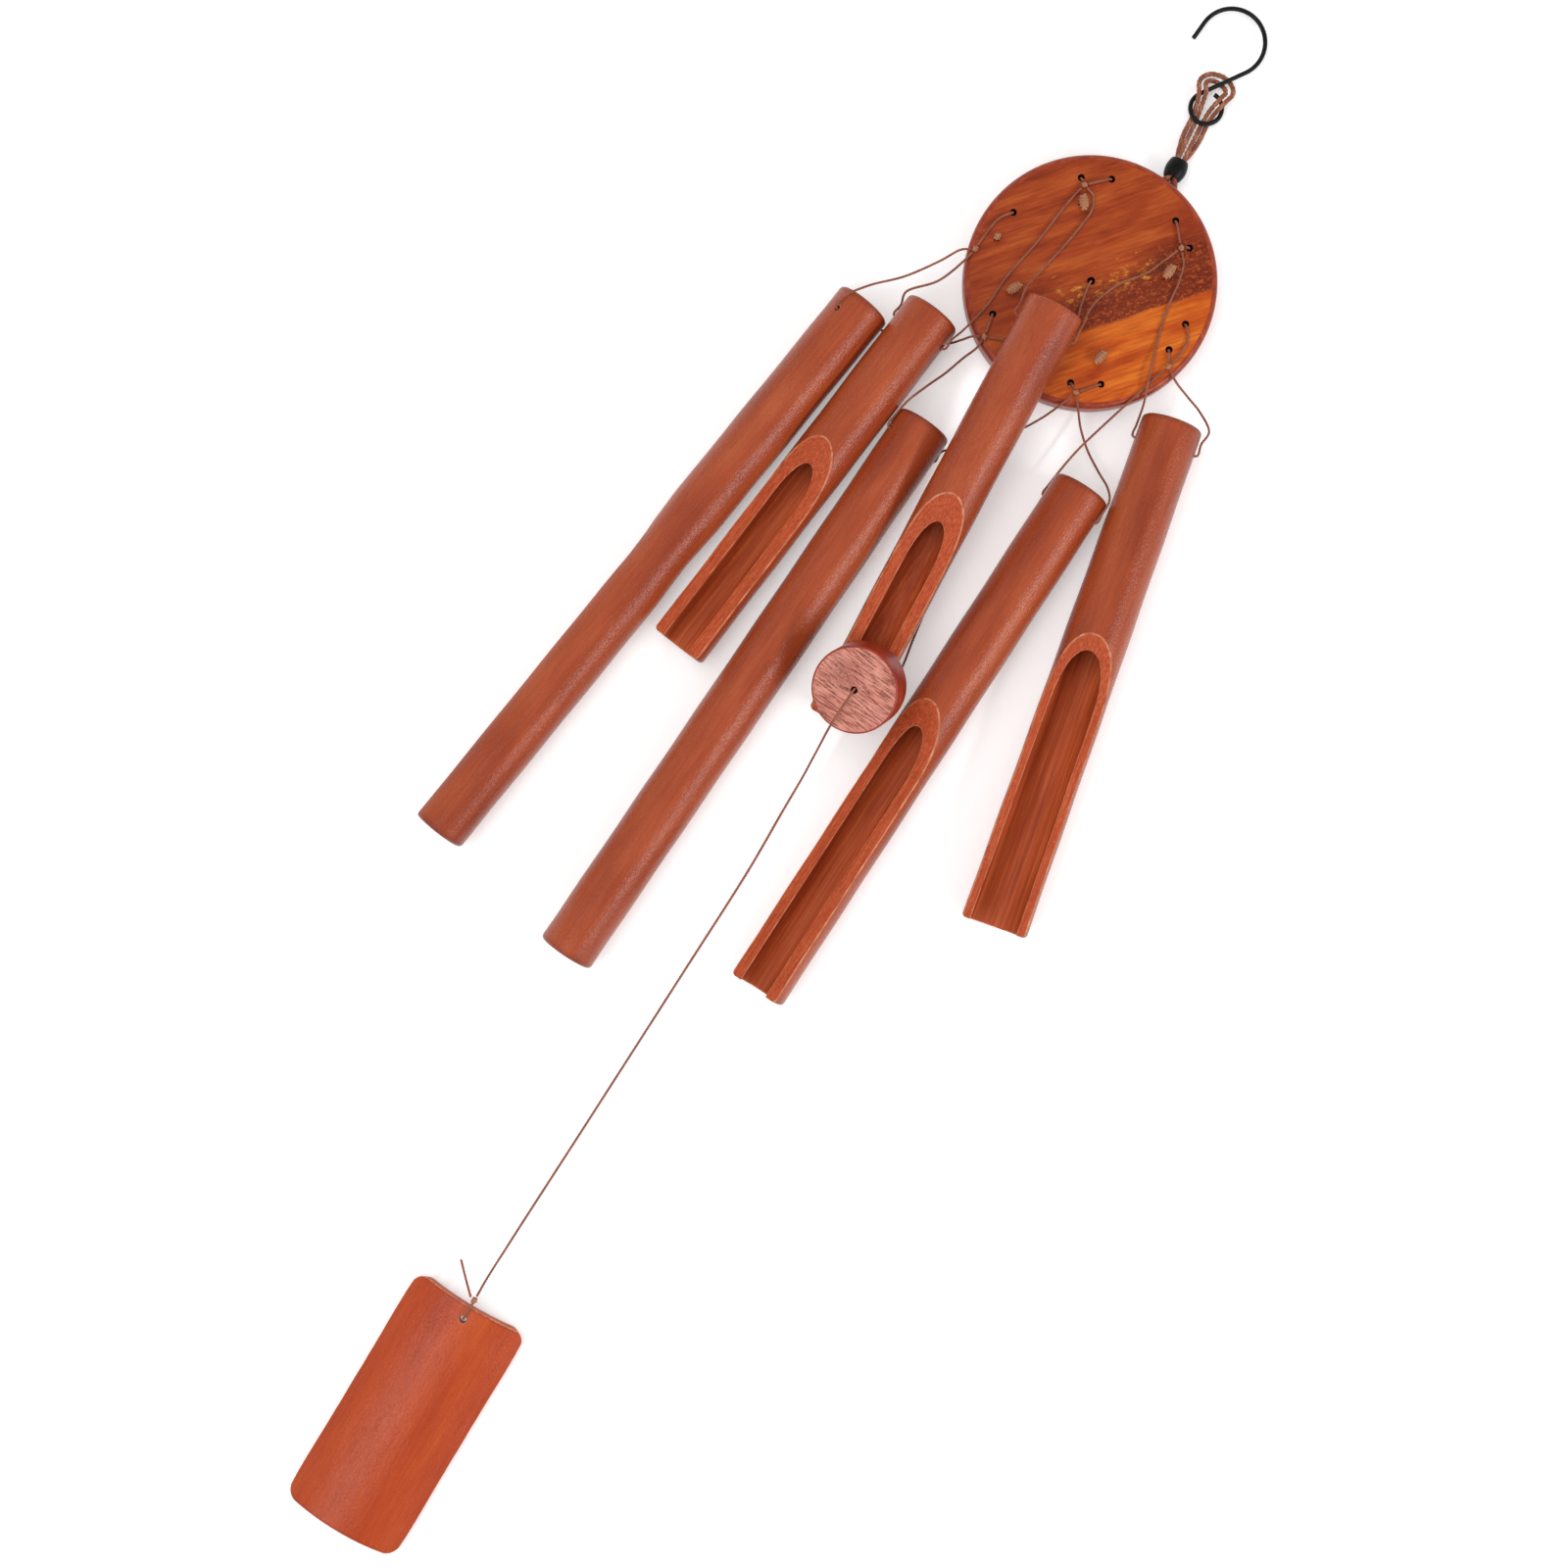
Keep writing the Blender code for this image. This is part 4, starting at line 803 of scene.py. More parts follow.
def knot_mesh(name, size, thick):
    """A knot that fills a box: turns wound round its length and one laid over the top."""
    half = size / 2
    room = half - Vector((thick, thick, thick)) / 2
    turns = max(2, round((size.y - thick) / (thick * WRAP_PITCH)))
    count = turns * WRAP_STEPS
    wound = []
    for i in range(count + 1):
        along = 2 * i / count - 1
        turn = 2 * pi * i / WRAP_STEPS
        reach = WRAP_FILL * sqrt(1 - (along * KNOT_TAPER) ** 2)
        wound.append(Vector((room.x * reach * cos(turn), room.y * along, room.z * reach * sin(turn))))
    over = []
    for i in range(WRAP_STEPS + 1):
        along = 2 * i / WRAP_STEPS - 1
        lift = cos(along * pi / 2)
        over.append(Vector((room.x * TOP_SLANT * along, room.y * sin(along * pi / 2), room.z * lift)))
    work = bmesh.new()
    lay_strands(work, wound, thick)
    lay_strands(work, over, thick)
    core = bmesh.ops.create_icosphere(work, subdivisions=CORE_SPLITS, radius=1.0)
    for vertex in core["verts"]:
        vertex.co = Vector((vertex.co.x * half.x, vertex.co.y * half.y, vertex.co.z * half.z)) * KNOT_CORE
    return finish_mesh(work, name, smooth=True)


def add_knot(node, body, thick, turn=0.0, size=None):
    """A knotted lump in place of a node's plain solid, turned about Z."""
    low, high = node_box(node)
    mesh = knot_mesh(node, high - low if size is None else Vector(size), thick)
    place = Matrix.Translation((low + high) / 2) @ Matrix.Rotation(radians(turn), 4, "Z")
    add_piece(node + "_wound", mesh, [TAN_CORD], body, [node], place)


# Camera, at the photograph's place: straight above, with the picture turned
CAMERA_AT = (0.0023, -0.0081, 0.95)
CAMERA_TURN = 31
CAMERA_LENS = 52.1
CAMERA_SENSOR = 36


def add_camera():
    lens = bpy.data.cameras.new("camera")
    lens.lens = CAMERA_LENS
    lens.sensor_width = CAMERA_SENSOR
    made = bpy.data.objects.new("camera", lens)
    made.location = CAMERA_AT
    made.rotation_euler = (0, 0, radians(CAMERA_TURN))
    bpy.context.collection.objects.link(made)
    bpy.context.scene.camera = made


# Lamps: place, aim, sides across and up, power, and whether glossy faces mirror it
Lamp = namedtuple("Lamp", "at aim sides power glossy")
LAMPS = {
    "side_strip": Lamp((0.95, 0.05, 0.72), (0, 0.05, 0), (0.8, 0.09), 5.0, True),
    "top_soft": Lamp((-0.60, 0.10, 1.6), (0, 0, 0), (1.4, 1.4), 11.0, False),
    "foot_soft": Lamp((-0.35, -0.80, 1.4), (0, -0.30, 0), (0.6, 0.5), 4.0, True),
}


def add_lamp(name):
    lamp = LAMPS[name]
    light = bpy.data.lights.new(name, "AREA")
    light.shape = "RECTANGLE"
    light.size, light.size_y = lamp.sides
    light.energy = lamp.power
    made = bpy.data.objects.new(name, light)
    made.location = lamp.at
    made.rotation_euler = (Vector(lamp.aim) - Vector(lamp.at)).to_track_quat("-Z", "Y").to_euler()
    made.visible_camera = False
    made.visible_glossy = lamp.glossy
    bpy.context.collection.objects.link(made)


# The stage: a flat white floor that bends up into a low wall all round
FLOOR_R = 2.4
BEND_R = 1.6
WALL_TOP = 2.8
BEND_STEPS = 12
FLOOR_GLOW = 0.34
SURROUND = 0.45


def shown_rays(look):
    """1 for what the camera sees, directly, mirrored or through glass."""
    path = look.add("ShaderNodeLightPath", {})
    shown = look.math("MAXIMUM", path.outputs["Is Camera Ray"], path.outputs["Is Glossy Ray"])
    return look.math("MAXIMUM", shown, path.outputs["Is Transmission Ray"])


def add_stage():
    """A white sweep that glows a little for the camera, under a plain soft surround."""
    profile = [(0, 0, 0), (FLOOR_R, 0, 0)]
    for i in range(1, BEND_STEPS + 1):
        turn = pi / 2 * i / BEND_STEPS
        profile.append((FLOOR_R + BEND_R * sin(turn), BEND_R * (1 - cos(turn)), 0))
    profile.append((FLOOR_R + BEND_R, WALL_TOP, 0))
    mesh = turned_mesh("floor", profile, ROUND_SIDES)
    mesh.shade_smooth()
    floor = bpy.data.objects.new("floor", mesh)
    floor.location.z = CAD_BOX[0][2] - GAP
    bpy.context.collection.objects.link(floor)
    look = Look("floor_paper")
    look.set(base_color=rgb(244, 244, 244), roughness=0.9, emission_color=WHITE)
    look.set(emission_strength=look.times(shown_rays(look), FLOOR_GLOW))
    mesh.materials.append(look.material)
    surround = bpy.data.worlds.new("surround")
    surround.use_nodes = True
    back = surround.node_tree.nodes["Background"]
    back.inputs["Color"].default_value = WHITE
    back.inputs["Strength"].default_value = SURROUND
    bpy.context.scene.world = surround
    bpy.context.scene.view_settings.view_transform = "Standard"


# Cords: routes from the disc's centre, as the solids have them

# Bends that lead two pair loops' ends round to different sides of their ties
LOOP_BENDS = {
    "b": ((), ((-0.0458, 0.0020), (-0.0472, -0.0070))),
    "d": (((0.0464, 0.0000), (0.0470, -0.0080)), ()),
}
NO_BENDS = ((), ())
TUBE_TIES = {1: "bf", 2: "ba", 3: "ac", 4: "fe", 5: "de", 6: "cd"}
LEFT_ROUTES = {
    1: ((-0.0525, -0.0165, 0.0155), (-0.0575, -0.0250, 0.0158), (-0.0665, -0.0385, 0.0185),
        (-0.0770, -0.0510, 0.0248)),
    2: ((-0.0490, -0.0195, 0.0158), (-0.0540, -0.0320, 0.0142), (-0.0634, -0.0425, 0.0112)),
    3: ((-0.0175, 0.0305, ON_FACE), (-0.0148, 0.0255, ON_FACE), (-0.0152, 0.0180, ON_FACE),
        (-0.0170, 0.0060, ON_FACE), (-0.0195, -0.0060, 0.0172), (-0.0210, -0.0150, 0.0222),
        (-0.0210, -0.0210, 0.0280)),
    4: ((-0.0262, -0.0475, 0.0145), (-0.0290, -0.0530, 0.0085), (-0.0320, -0.0620, 0.0090),
        (-0.0360, -0.0730, 0.0165), (-0.0392, -0.0820, 0.0188)),
    5: ((0.0430, -0.0215, ON_FACE), (0.0385, -0.0365, 0.0152), (0.0350, -0.0480, 0.0100),
        (0.0312, -0.0620, 0.0072)),
    6: ((0.0290, 0.0255, ON_FACE), (0.0312, 0.0180, ON_FACE), (0.0325, 0.0080, ON_FACE),
        (0.0362, -0.0080, ON_FACE), (0.0412, -0.0235, 0.0182), (0.0445, -0.0320, 0.0158)),
}
RIGHT_ROUTES = {
    1: ((-0.0600, -0.0575, 0.0008), (-0.0500, -0.0545, 0.0008), (-0.0430, -0.0520, 0.0009),
        (-0.0380, -0.0500, 0.0024), (-0.0335, -0.0470, 0.0090), (-0.0302, -0.0447, 0.0152)),
    2: ((-0.0350, -0.0460, 0.0172), (-0.0325, -0.0360, 0.0160), (-0.0312, -0.0280, ON_FACE),
        (-0.0308, -0.0180, ON_FACE), (-0.0270, 0.0040, ON_FACE), (-0.0250, 0.0210, ON_FACE)),
    3: ((0.0062, -0.0185, 0.0285), (0.0056, -0.0125, 0.0205), (0.0064, -0.0055, 0.0168),
        (0.0105, 0.0045, ON_FACE), (0.0180, 0.0145, ON_FACE), (0.0218, 0.0230, ON_FACE)),
    4: ((-0.0090, -0.0840, 0.0064), (0.0000, -0.0755, 0.0070), (0.0075, -0.0650, 0.0090),
        (0.0120, -0.0575, 0.0115), (0.0152, -0.0510, 0.0158)),
    5: ((0.0530, -0.0745, 0.0183), (0.0500, -0.0695, 0.0140), (0.0430, -0.0640, 0.0070),
        (0.0350, -0.0585, 0.0048), (0.0280, -0.0530, 0.0080), (0.0226, -0.0482, 0.0158)),
    6: ((0.0738, -0.0280, 0.0140), (0.0665, -0.0225, 0.0120), (0.0590, -0.0200, 0.0130),
        (0.0515, -0.0180, 0.0164)),
}
STRIKER_ROUTE = (
    (0.0004, -0.0050, ON_FACE), (0.0022, -0.0130, ON_FACE), (0.0050, -0.0215, ON_FACE),
    (0.0058, -0.0330, ON_FACE), (0.0062, -0.0480, ON_FACE), (0.0062, -0.0535, 0.0154),
    (0.0063, -0.0585, 0.0085), (0.0065, -0.0660, 0.0018), (0.0072, -0.0800, 0.0008),
    (0.0080, -0.0953, 0.0008), (0.0094, -0.1198, 0.0008), (0.0110, -0.1442, 0.0008),
    (0.0132, -0.1620, 0.0030), (0.0152, -0.1750, 0.0100), (0.0154, -0.1830, 0.0186),
    (0.0128, -0.1875, 0.0224), (0.0086, -0.1899, 0.0226),
)
SAIL_ROUTE = (
    (0.0026, -0.2010, 0.0400), (0.0022, -0.2080, 0.0374), (0.0022, -0.2150, 0.0346),
    (0.0026, -0.2220, 0.0260), (0.0030, -0.2290, 0.0150), (0.0034, -0.2360, 0.0058),
    (0.0035, -0.2430, 0.0018), (0.0036, -0.2520, 0.0009), (0.0041, -0.2804, 0.0009),
    (0.0028, -0.3299, 0.0009), (0.0006, -0.4058, 0.0009), (-0.0012, -0.4620, 0.0009),
    (-0.0014, -0.4700, 0.0012), (-0.0016, -0.4770, 0.0040), (-0.0017, -0.4830, 0.0080),
)
TAIL_ROUTE = ((-0.0055, 0.0035, -0.0012), (-0.0100, 0.0065, -0.0065))
TAIL_END = (-0.0135, 0.0090)

# The sail's loop: how far back from the edge it lies over and under the sail, as shares of the hole's
# inset, its place in the hole, as shares of the wall, and its reach past the edge and sag, in cords
LOOP_BACK_OVER = 0.4
LOOP_BACK_UNDER = 0.3
LOOP_IN_HOLE = (0.3, 0.7)
LOOP_PAST_EDGE = 1.2
LOOP_SAG = 0.3
UNDER_ROUTES = {
    "1": ((-0.0150, 0.0310, 0.0013), (-0.0070, 0.0420, 0.0013), (0.0002, 0.0490, 0.0013),
          (0.0029, 0.0522, 0.0015), (0.0037, 0.0542, 0.0030), (0.0046, 0.0557, 0.0047)),
    "2": ((0.0220, 0.0250, 0.0013), (0.0170, 0.0330, 0.0013), (0.0140, 0.0395, 0.0013),
          (0.0126, 0.0460, 0.0013), (0.0112, 0.0522, 0.0015), (0.0102, 0.0542, 0.0030),
          (0.0091, 0.0557, 0.0047)),
    "3": ((0.0185, -0.0210, 0.0013), (0.0180, -0.0080, 0.0013), (0.0145, 0.0150, 0.0013),
          (0.0108, 0.0370, 0.0013), (0.0094, 0.0460, 0.0013), (0.0084, 0.0515, 0.0014),
          (0.0080, 0.0545, 0.0020)),
    "4": ((-0.0238, -0.0150, 0.0013), (-0.0205, -0.0060, 0.0013), (-0.0120, 0.0130, 0.0013),
          (-0.0030, 0.0340, 0.0013), (0.0032, 0.0460, 0.0013), (0.0052, 0.0515, 0.0014),
          (0.0058, 0.0545, 0.0020)),
}
HITCH_ROUTES = {
    "inner": ((-0.0014, -0.0120, 0.0022), (-0.0014, -0.0066, 0.0011), (-0.0019, -0.0015, 0.0026),
              (-0.0026, 0.0026, 0.0052), (-0.0032, 0.0056, 0.0060), (-0.0046, 0.0082, 0.0050),
              (-0.0043, 0.0107, 0.0028), (-0.0020, 0.0124, 0.0013), (0.0010, 0.0122, 0.0011),
              (0.0036, 0.0110, 0.0019), (0.0045, 0.0087, 0.0038), (0.0038, 0.0064, 0.0058),
              (0.0029, 0.0036, 0.0056), (0.0017, -0.0010, 0.0030), (0.0014, -0.0066, 0.0011),
              (0.0014, -0.0120, 0.0022)),
    "outer": ((-0.0026, -0.0200, 0.0026), (-0.0036, -0.0125, 0.0015), (-0.0035, -0.0062, 0.0011),
              (-0.0037, -0.0036, 0.0014), (-0.0041, -0.0010, 0.0032), (-0.0049, 0.0016, 0.0056),
              (-0.0060, 0.0044, 0.0060), (-0.0074, 0.0078, 0.0049), (-0.0070, 0.0114, 0.0028),
              (-0.0042, 0.0146, 0.0013), (0.0004, 0.0156, 0.0011), (0.0036, 0.0150, 0.0011),
              (0.0064, 0.0128, 0.0019), (0.0074, 0.0095, 0.0038), (0.0064, 0.0060, 0.0058),
              (0.0056, 0.0036, 0.0060), (0.0048, 0.0012, 0.0056), (0.0041, -0.0010, 0.0032),
              (0.0037, -0.0036, 0.0014), (0.0035, -0.0062, 0.0011), (0.0036, -0.0125, 0.0015),
              (0.0026, -0.0200, 0.0026)),
}
HANGER_CORDS = {"hanger_cord_1": ("inner", "12", 1), "hanger_cord_2": ("outer", "43", -1)}

# The hanger knots' size, and how each is turned on the face, as photographed
HANGER_KNOT = (0.0050, 0.0073, 0.0042)
KNOT_TURNS = {"1": 39, "2": -3, "3": -7, "4": -24}


def world(points):
    """Route points from the disc's centre, in the frame's own place."""
    return [Vector(p) + LAYOUT for p in points]


def add_cord(node, points, diameter, body=None, bend=None, braided=False):
    """A cord along world points, on a body; given a bend, (body, body, start, end) across a joint, it is
    baked where it lies instead, and the bend's bodies and points are not used.
    """
    path = evenly(smooth_curve(points), diameter / 2)
    if braided:
        mesh = braided_mesh(node, path, diameter)
        made = add_piece(node + "_braid", mesh, [BROWN_CORD, TAN_CORD], None, [node])
    else:
        mesh = twisted_mesh(node, path, diameter)
        made = add_piece(node + "_twist", mesh, [BROWN_CORD], None, [node])
    if bend is None:
        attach(made, body)
    else:
        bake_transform(made)


def pair_holes(letter):
    centre = polar(PAIR_RADIUS, PAIR_ANGLES[letter])
    side = clockwise(PAIR_ANGLES[letter]) * PAIR_SPACING / 2
    return centre - side, centre + side


def from_tie(letter, towards):
    """Where a cord meets a tie, on the side facing its next point, from the disc's centre."""
    centre = node_centre("tie_" + letter) - LAYOUT
    centre.z = ON_FACE + GAP
    way = Vector(towards) - centre
    way.z = 0
    return centre + way.normalized() * (TIE_D / 2 + GAP)


def loop_side(letter, hole, bends):
    """Half a pair loop: from the tie over the face and down through a hole."""
    bends = [Vector((x, y, ON_FACE)) for x, y in bends]
    mouth = hole + Vector((0, 0, ON_FACE))
    start = from_tie(letter, bends[-1] if bends else mouth)
    inward = (bends[0] if bends else start) - mouth
    inward.z = 0
    lip = mouth + inward.normalized() * CORD_D
    shaft = [hole + Vector((0, 0, DISC_FACE - CORD_D)), hole + Vector((0, 0, DISC_LIFT + CORD_D))]
    return [start, *bends[::-1], lip, *shaft]


def add_pair_loops():
    for letter in PAIR_ANGLES:
        first, second = pair_holes(letter)
        bends = LOOP_BENDS.get(letter, NO_BENDS)
        stitch = (second - first).normalized() * LOOP_INSET
        under = Vector((0, 0, UNDER_DISC))
        middle = [first + stitch + under, (first + second) / 2 + under, second - stitch + under]
        there = loop_side(letter, first, bends[0])
        back = loop_side(letter, second, bends[1])[::-1]
        if letter == JOINED_PAIR:
            there = [first + Vector((0, 0, DISC_FACE - GAP)), there[-1]]
        add_cord("pair_loop_" + letter, world([*there, *middle, *back]), CORD_D, "disc")


Place = namedtuple("Place", "hinge along right axes roll")


def place_tube(number):
    """A tube's hinge point, its axes with the top at +Z, and the roll that turns its slot to -Y."""
    tube = TUBES[number]
    joint = JOINTS["tube_%d_swing" % number]
    hinge = Vector(joint["pos_m"])
    right = -Vector(joint["axis"])
    flat = Vector((right.y, -right.x, 0))
    slope = asin((hinge.z - tube.bottom_d / 2) / (tube.length - HANG_DROP))
    along = flat * cos(slope) - Vector((0, 0, sin(slope)))
    axes = Matrix((right, right.cross(along), -along)).transposed()
    return Place(hinge, along, right, axes, Matrix.Rotation(-radians(tube.roll), 3, "Z"))


# Two distances back from a tube's hang holes, given in its cord's bend
FOLLOW_FROM = 0.007
FOLLOW_FULLY = 0.001


def add_tube_cord(number):
    """One cord from tie to tie, threaded through both hang holes of a tube."""
    place = place_tube(number)
    tube = TUBES[number]
    left_tie, right_tie = TUBE_TIES[number]
    across = place.axes @ place.roll @ Vector((1, 0, 0))
    if across.dot(place.right) < 0:
        across.negate()
    hinge = place.hinge - LAYOUT
    mouth = tube.top_d / 2 + CORD_D
    inside = tube.top_d / 2 - tube.wall
    through = [hinge + across * reach for reach in (-mouth, -inside, inside, mouth)]
    leave = place.along * -HANG_DROP / 2
    left = [*(Vector(p) for p in LEFT_ROUTES[number]), through[0] + leave]
    right = [through[-1] + leave, *(Vector(p) for p in RIGHT_ROUTES[number])]
    route = [from_tie(left_tie, left[0]), *left, *through, *right, from_tie(right_tie, right[-1])]
    bend = ("disc", "tube_%d" % number, place.hinge - place.along * FOLLOW_FROM,
            place.hinge - place.along * FOLLOW_FULLY)
    add_cord("tube_%d_cord" % number, world(route), CORD_D, bend=bend)


def striker_axis():
    tilt = radians(STRIKER_TILT)
    return polar(sin(tilt), STRIKER_LEAN, cos(tilt))


# Two points along the striker cord, given in its bend
STRIKER_BEND = ((0.0, -0.002, 0.016), (0.0, -0.014, 0.016))
SAIL_BEND = (0.0002, 0.0060)


def add_striker_cord():
    """From the stop knot through the disc, over its face and the table, into the striker."""
    normal = striker_axis()
    back = joint_place("sail_swing") - LAYOUT - normal * STRIKER_T
    start = [Vector((0, 0, DISC_LIFT + CORD_D)), Vector((0, 0, DISC_FACE - CORD_D)),
             Vector((0, -CORD_D * LIP_START, ON_FACE)), Vector((0, -CORD_D * LIP_END, ON_FACE + GAP))]
    end = [back - normal * CORD_D, back + normal * STRIKER_T * STRIKER_CORD_IN]
    bend = ("disc", "striker", *world(STRIKER_BEND))
    add_cord("striker_cord", world([*start, *STRIKER_ROUTE, *end]), CORD_D, bend=bend)


def off_knot(knot, x, y, z):
    """A point just off the sail's knot, in the given direction."""
    low, high = node_box("sail_knot")
    return knot + Vector((x, y, z)).normalized() * ((high.z - low.z) / 2 + GAP)


def add_sail_cords():
    """The loop from the knot above the sail through its hole, the loose tail and the long cord."""
    low, high = node_box("sail")
    ridge = high.z
    knot = node_centre("sail_knot")
    hole = Vector(((low.x + high.x) / 2, high.y - SAIL_HOLE_INSET, 0))
    over = ridge + GAP + CORD_D / 2
    under = ridge - SAIL_T - GAP - CORD_D / 2
    edge = hole.y + SAIL_HOLE_INSET
    shaft = [(hole.x, hole.y, ridge - SAIL_T * share) for share in LOOP_IN_HOLE]
    loop = [off_knot(knot, 0, -3, 4), (hole.x, edge - SAIL_HOLE_INSET * LOOP_BACK_OVER, over + GAP),
            (hole.x, hole.y + CORD_D, over), *shaft, (hole.x, hole.y + CORD_D, under),
            (hole.x, edge - SAIL_HOLE_INSET * LOOP_BACK_UNDER, under - GAP),
            (hole.x, edge + CORD_D * LOOP_PAST_EDGE, under - CORD_D * LOOP_SAG),
            off_knot(knot, 0, -3, -4)]
    tail = [off_knot(knot, -5, 1, 0), *(knot + Vector(p) for p in TAIL_ROUTE),
            (knot.x + TAIL_END[0], knot.y + TAIL_END[1], ON_TABLE + GAP)]
    for node, route in (("sail_loop", loop), ("sail_tail", tail)):
        mesh = twisted_mesh(node, smooth_curve(route), CORD_D)
        add_piece(node + "_twist", mesh, [BROWN_CORD], "sail", [node])
    normal = striker_axis()
    centre = joint_place("sail_swing")
    route = [centre - normal * STRIKER_T * SAIL_CORD_IN, centre + normal * CORD_D, *world(SAIL_ROUTE),
             off_knot(knot, 0, 4, -3)]
    way = Vector((0, -1, 0))
    bend = ("striker", "sail", centre + way * SAIL_BEND[0], centre + way * SAIL_BEND[1])
    add_cord("sail_cord", route, CORD_D, bend=bend)


Hanger = namedtuple("Hanger", "bead ring right up")


def hanger_places():
    return Hanger(node_centre("bead"), joint_place("hook_swing"), clockwise(RING_TURN), polar(1, RING_TURN))


def hanger_side(number, hanger, side, level):
    """One strand from its knot under the disc and through the bead."""
    hole = node_centre("hanger_knot_" + number) - LAYOUT
    hole.z = 0
    way = Vector(UNDER_ROUTES[number][0]) - hole
    way.z = 0
    drop = hole + way.normalized() * HANGER_CORD_D * HANGER_LIP_ALONG
    drop.z = HANGER_CORD_D * HANGER_LIP_UP
    shaft = [hole + Vector((0, 0, DISC_FACE - GAP)), hole + Vector((0, 0, DISC_LIFT)), drop]
    lane = hanger.bead - LAYOUT + hanger.right * side + Vector((0, 0, level))
    inside = [lane + hanger.up * BEAD_LENGTH * share for share in (-BEAD_PASS, BEAD_PASS)]
    return [*shaft, *(Vector(p) for p in UNDER_ROUTES[number]), *inside]


# Two distances past the disc's rim, given in the hanger cords' bend
HANGER_BEND = (-0.0030, 0.0040)


def add_hanger_cords(hanger):
    flat = hanger.ring - LAYOUT
    flat.z = 0
    off = HANGER_CORD_D / 2 + GAP / 2
    out = (hanger.bead - LAYOUT).normalized()
    bend = ("disc", "hanger", *(LAYOUT + out * (DISC_R + share) for share in HANGER_BEND))
    for node, (hitch, holes, layer) in HANGER_CORDS.items():
        turns = [flat + hanger.right * x + hanger.up * y + Vector((0, 0, z))
                 for x, y, z in HITCH_ROUTES[hitch]]
        there = hanger_side(holes[0], hanger, -off, layer * off)
        back = hanger_side(holes[1], hanger, off, layer * off)[::-1]
        add_cord(node, world([*there, *turns, *back]), HANGER_CORD_D, bend=bend, braided=True)


# Cord that each kind of knot is tied with
HANGER_WRAP = 0.0013
TIE_WRAP = 0.0008
JOIN_WRAP = 0.0010
STOP_WRAP = 0.0008


def add_knots():
    for number, turn in KNOT_TURNS.items():
        add_knot("hanger_knot_" + number, "disc", HANGER_WRAP, turn, HANGER_KNOT)
    for letter in PAIR_ANGLES:
        add_knot("tie_" + letter, "disc", TIE_WRAP, PAIR_ANGLES[letter])
    add_knot("cord_join_knot", "disc", JOIN_WRAP)
    add_knot("striker_stop_knot", "disc", STOP_WRAP)
    add_knot("sail_knot", "sail", JOIN_WRAP)


# Rigid pieces: how far a drill reaches, in thicknesses or radii of what it goes through
DISC_DRILL = 3
TUBE_DRILL = 4
SAIL_DRILL = 2


def add_disc():
    """The turned disc with its rounded rim and drilled holes."""
    face, rim, drilled = 0, 1, 2
    half = DISC_T / 2
    upper = rounded(DISC_R, half, DISC_EDGE, True, rim)
    lower = rounded(DISC_R, -half, DISC_EDGE, False, rim)
    lower[-1] = (*lower[-1][:2], face)
    mesh = turned_mesh("disc", [(0, half, face), *upper, *lower, (0, -half, face)], DISC_SIDES)
    holes = [(hole, PAIR_HOLE_D) for letter in PAIR_ANGLES for hole in pair_holes(letter)]
    holes += [(node_centre("hanger_knot_" + n) - LAYOUT, HANGER_HOLE_D) for n in KNOT_TURNS]
    holes.append((Vector(), CENTRE_HOLE_D))
    looks = [DISC_WOOD, RIM_WOOD, HOLE_PAINTED_SHADE]
    cutters = [(drill_mesh(d, DISC_T * DISC_DRILL, drilled), Matrix.Translation((hole.x, hole.y, 0)))
               for hole, d in holes]
    mesh = carve(mesh, cutters, looks)
    middle = LAYOUT + Vector((0, 0, (DISC_FACE + DISC_LIFT) / 2))
    add_piece("wood_disc", mesh, looks, "disc", ["top_disc"], Matrix.Translation(middle))


def tube_radius(tube):
    return max(tube.top_d, tube.bottom_d) / 2


# Slow swelling of a natural culm, as a depth and a wavelength
CULM_WAVE = 0.00018
CULM_LENGTH = 0.085
CULM_ROWS = 28
RUB_WIDTH = 0.0004

# A narrow place in a culm: how far down it is, how long and how deep
CULM_WAIST = {1: (0.47, 0.05, 0.0008)}


def scoop_outline(tube):
    """Side outline of the cut: it dips in, levels out and runs off the foot of the tube."""
    start = HANG_DROP - tube.scoop
    outer = tube_radius(tube)
    depth = outer - SCOOP_HEIGHT
    clear = outer * 2
    foot = HANG_DROP - tube.length - tube.wall
    curve = []
    for i in range(SCOOP_STEPS + 1):
        run = i / SCOOP_STEPS
        curve.append((-outer + depth * (1 - (1 - run) ** 2), start - SCOOP_RUN * run))
    lead = (-clear, start + SCOOP_RUN * (clear - outer) / (2 * depth))
    return [lead, *curve, (-SCOOP_HEIGHT, foot), (-clear, foot)]


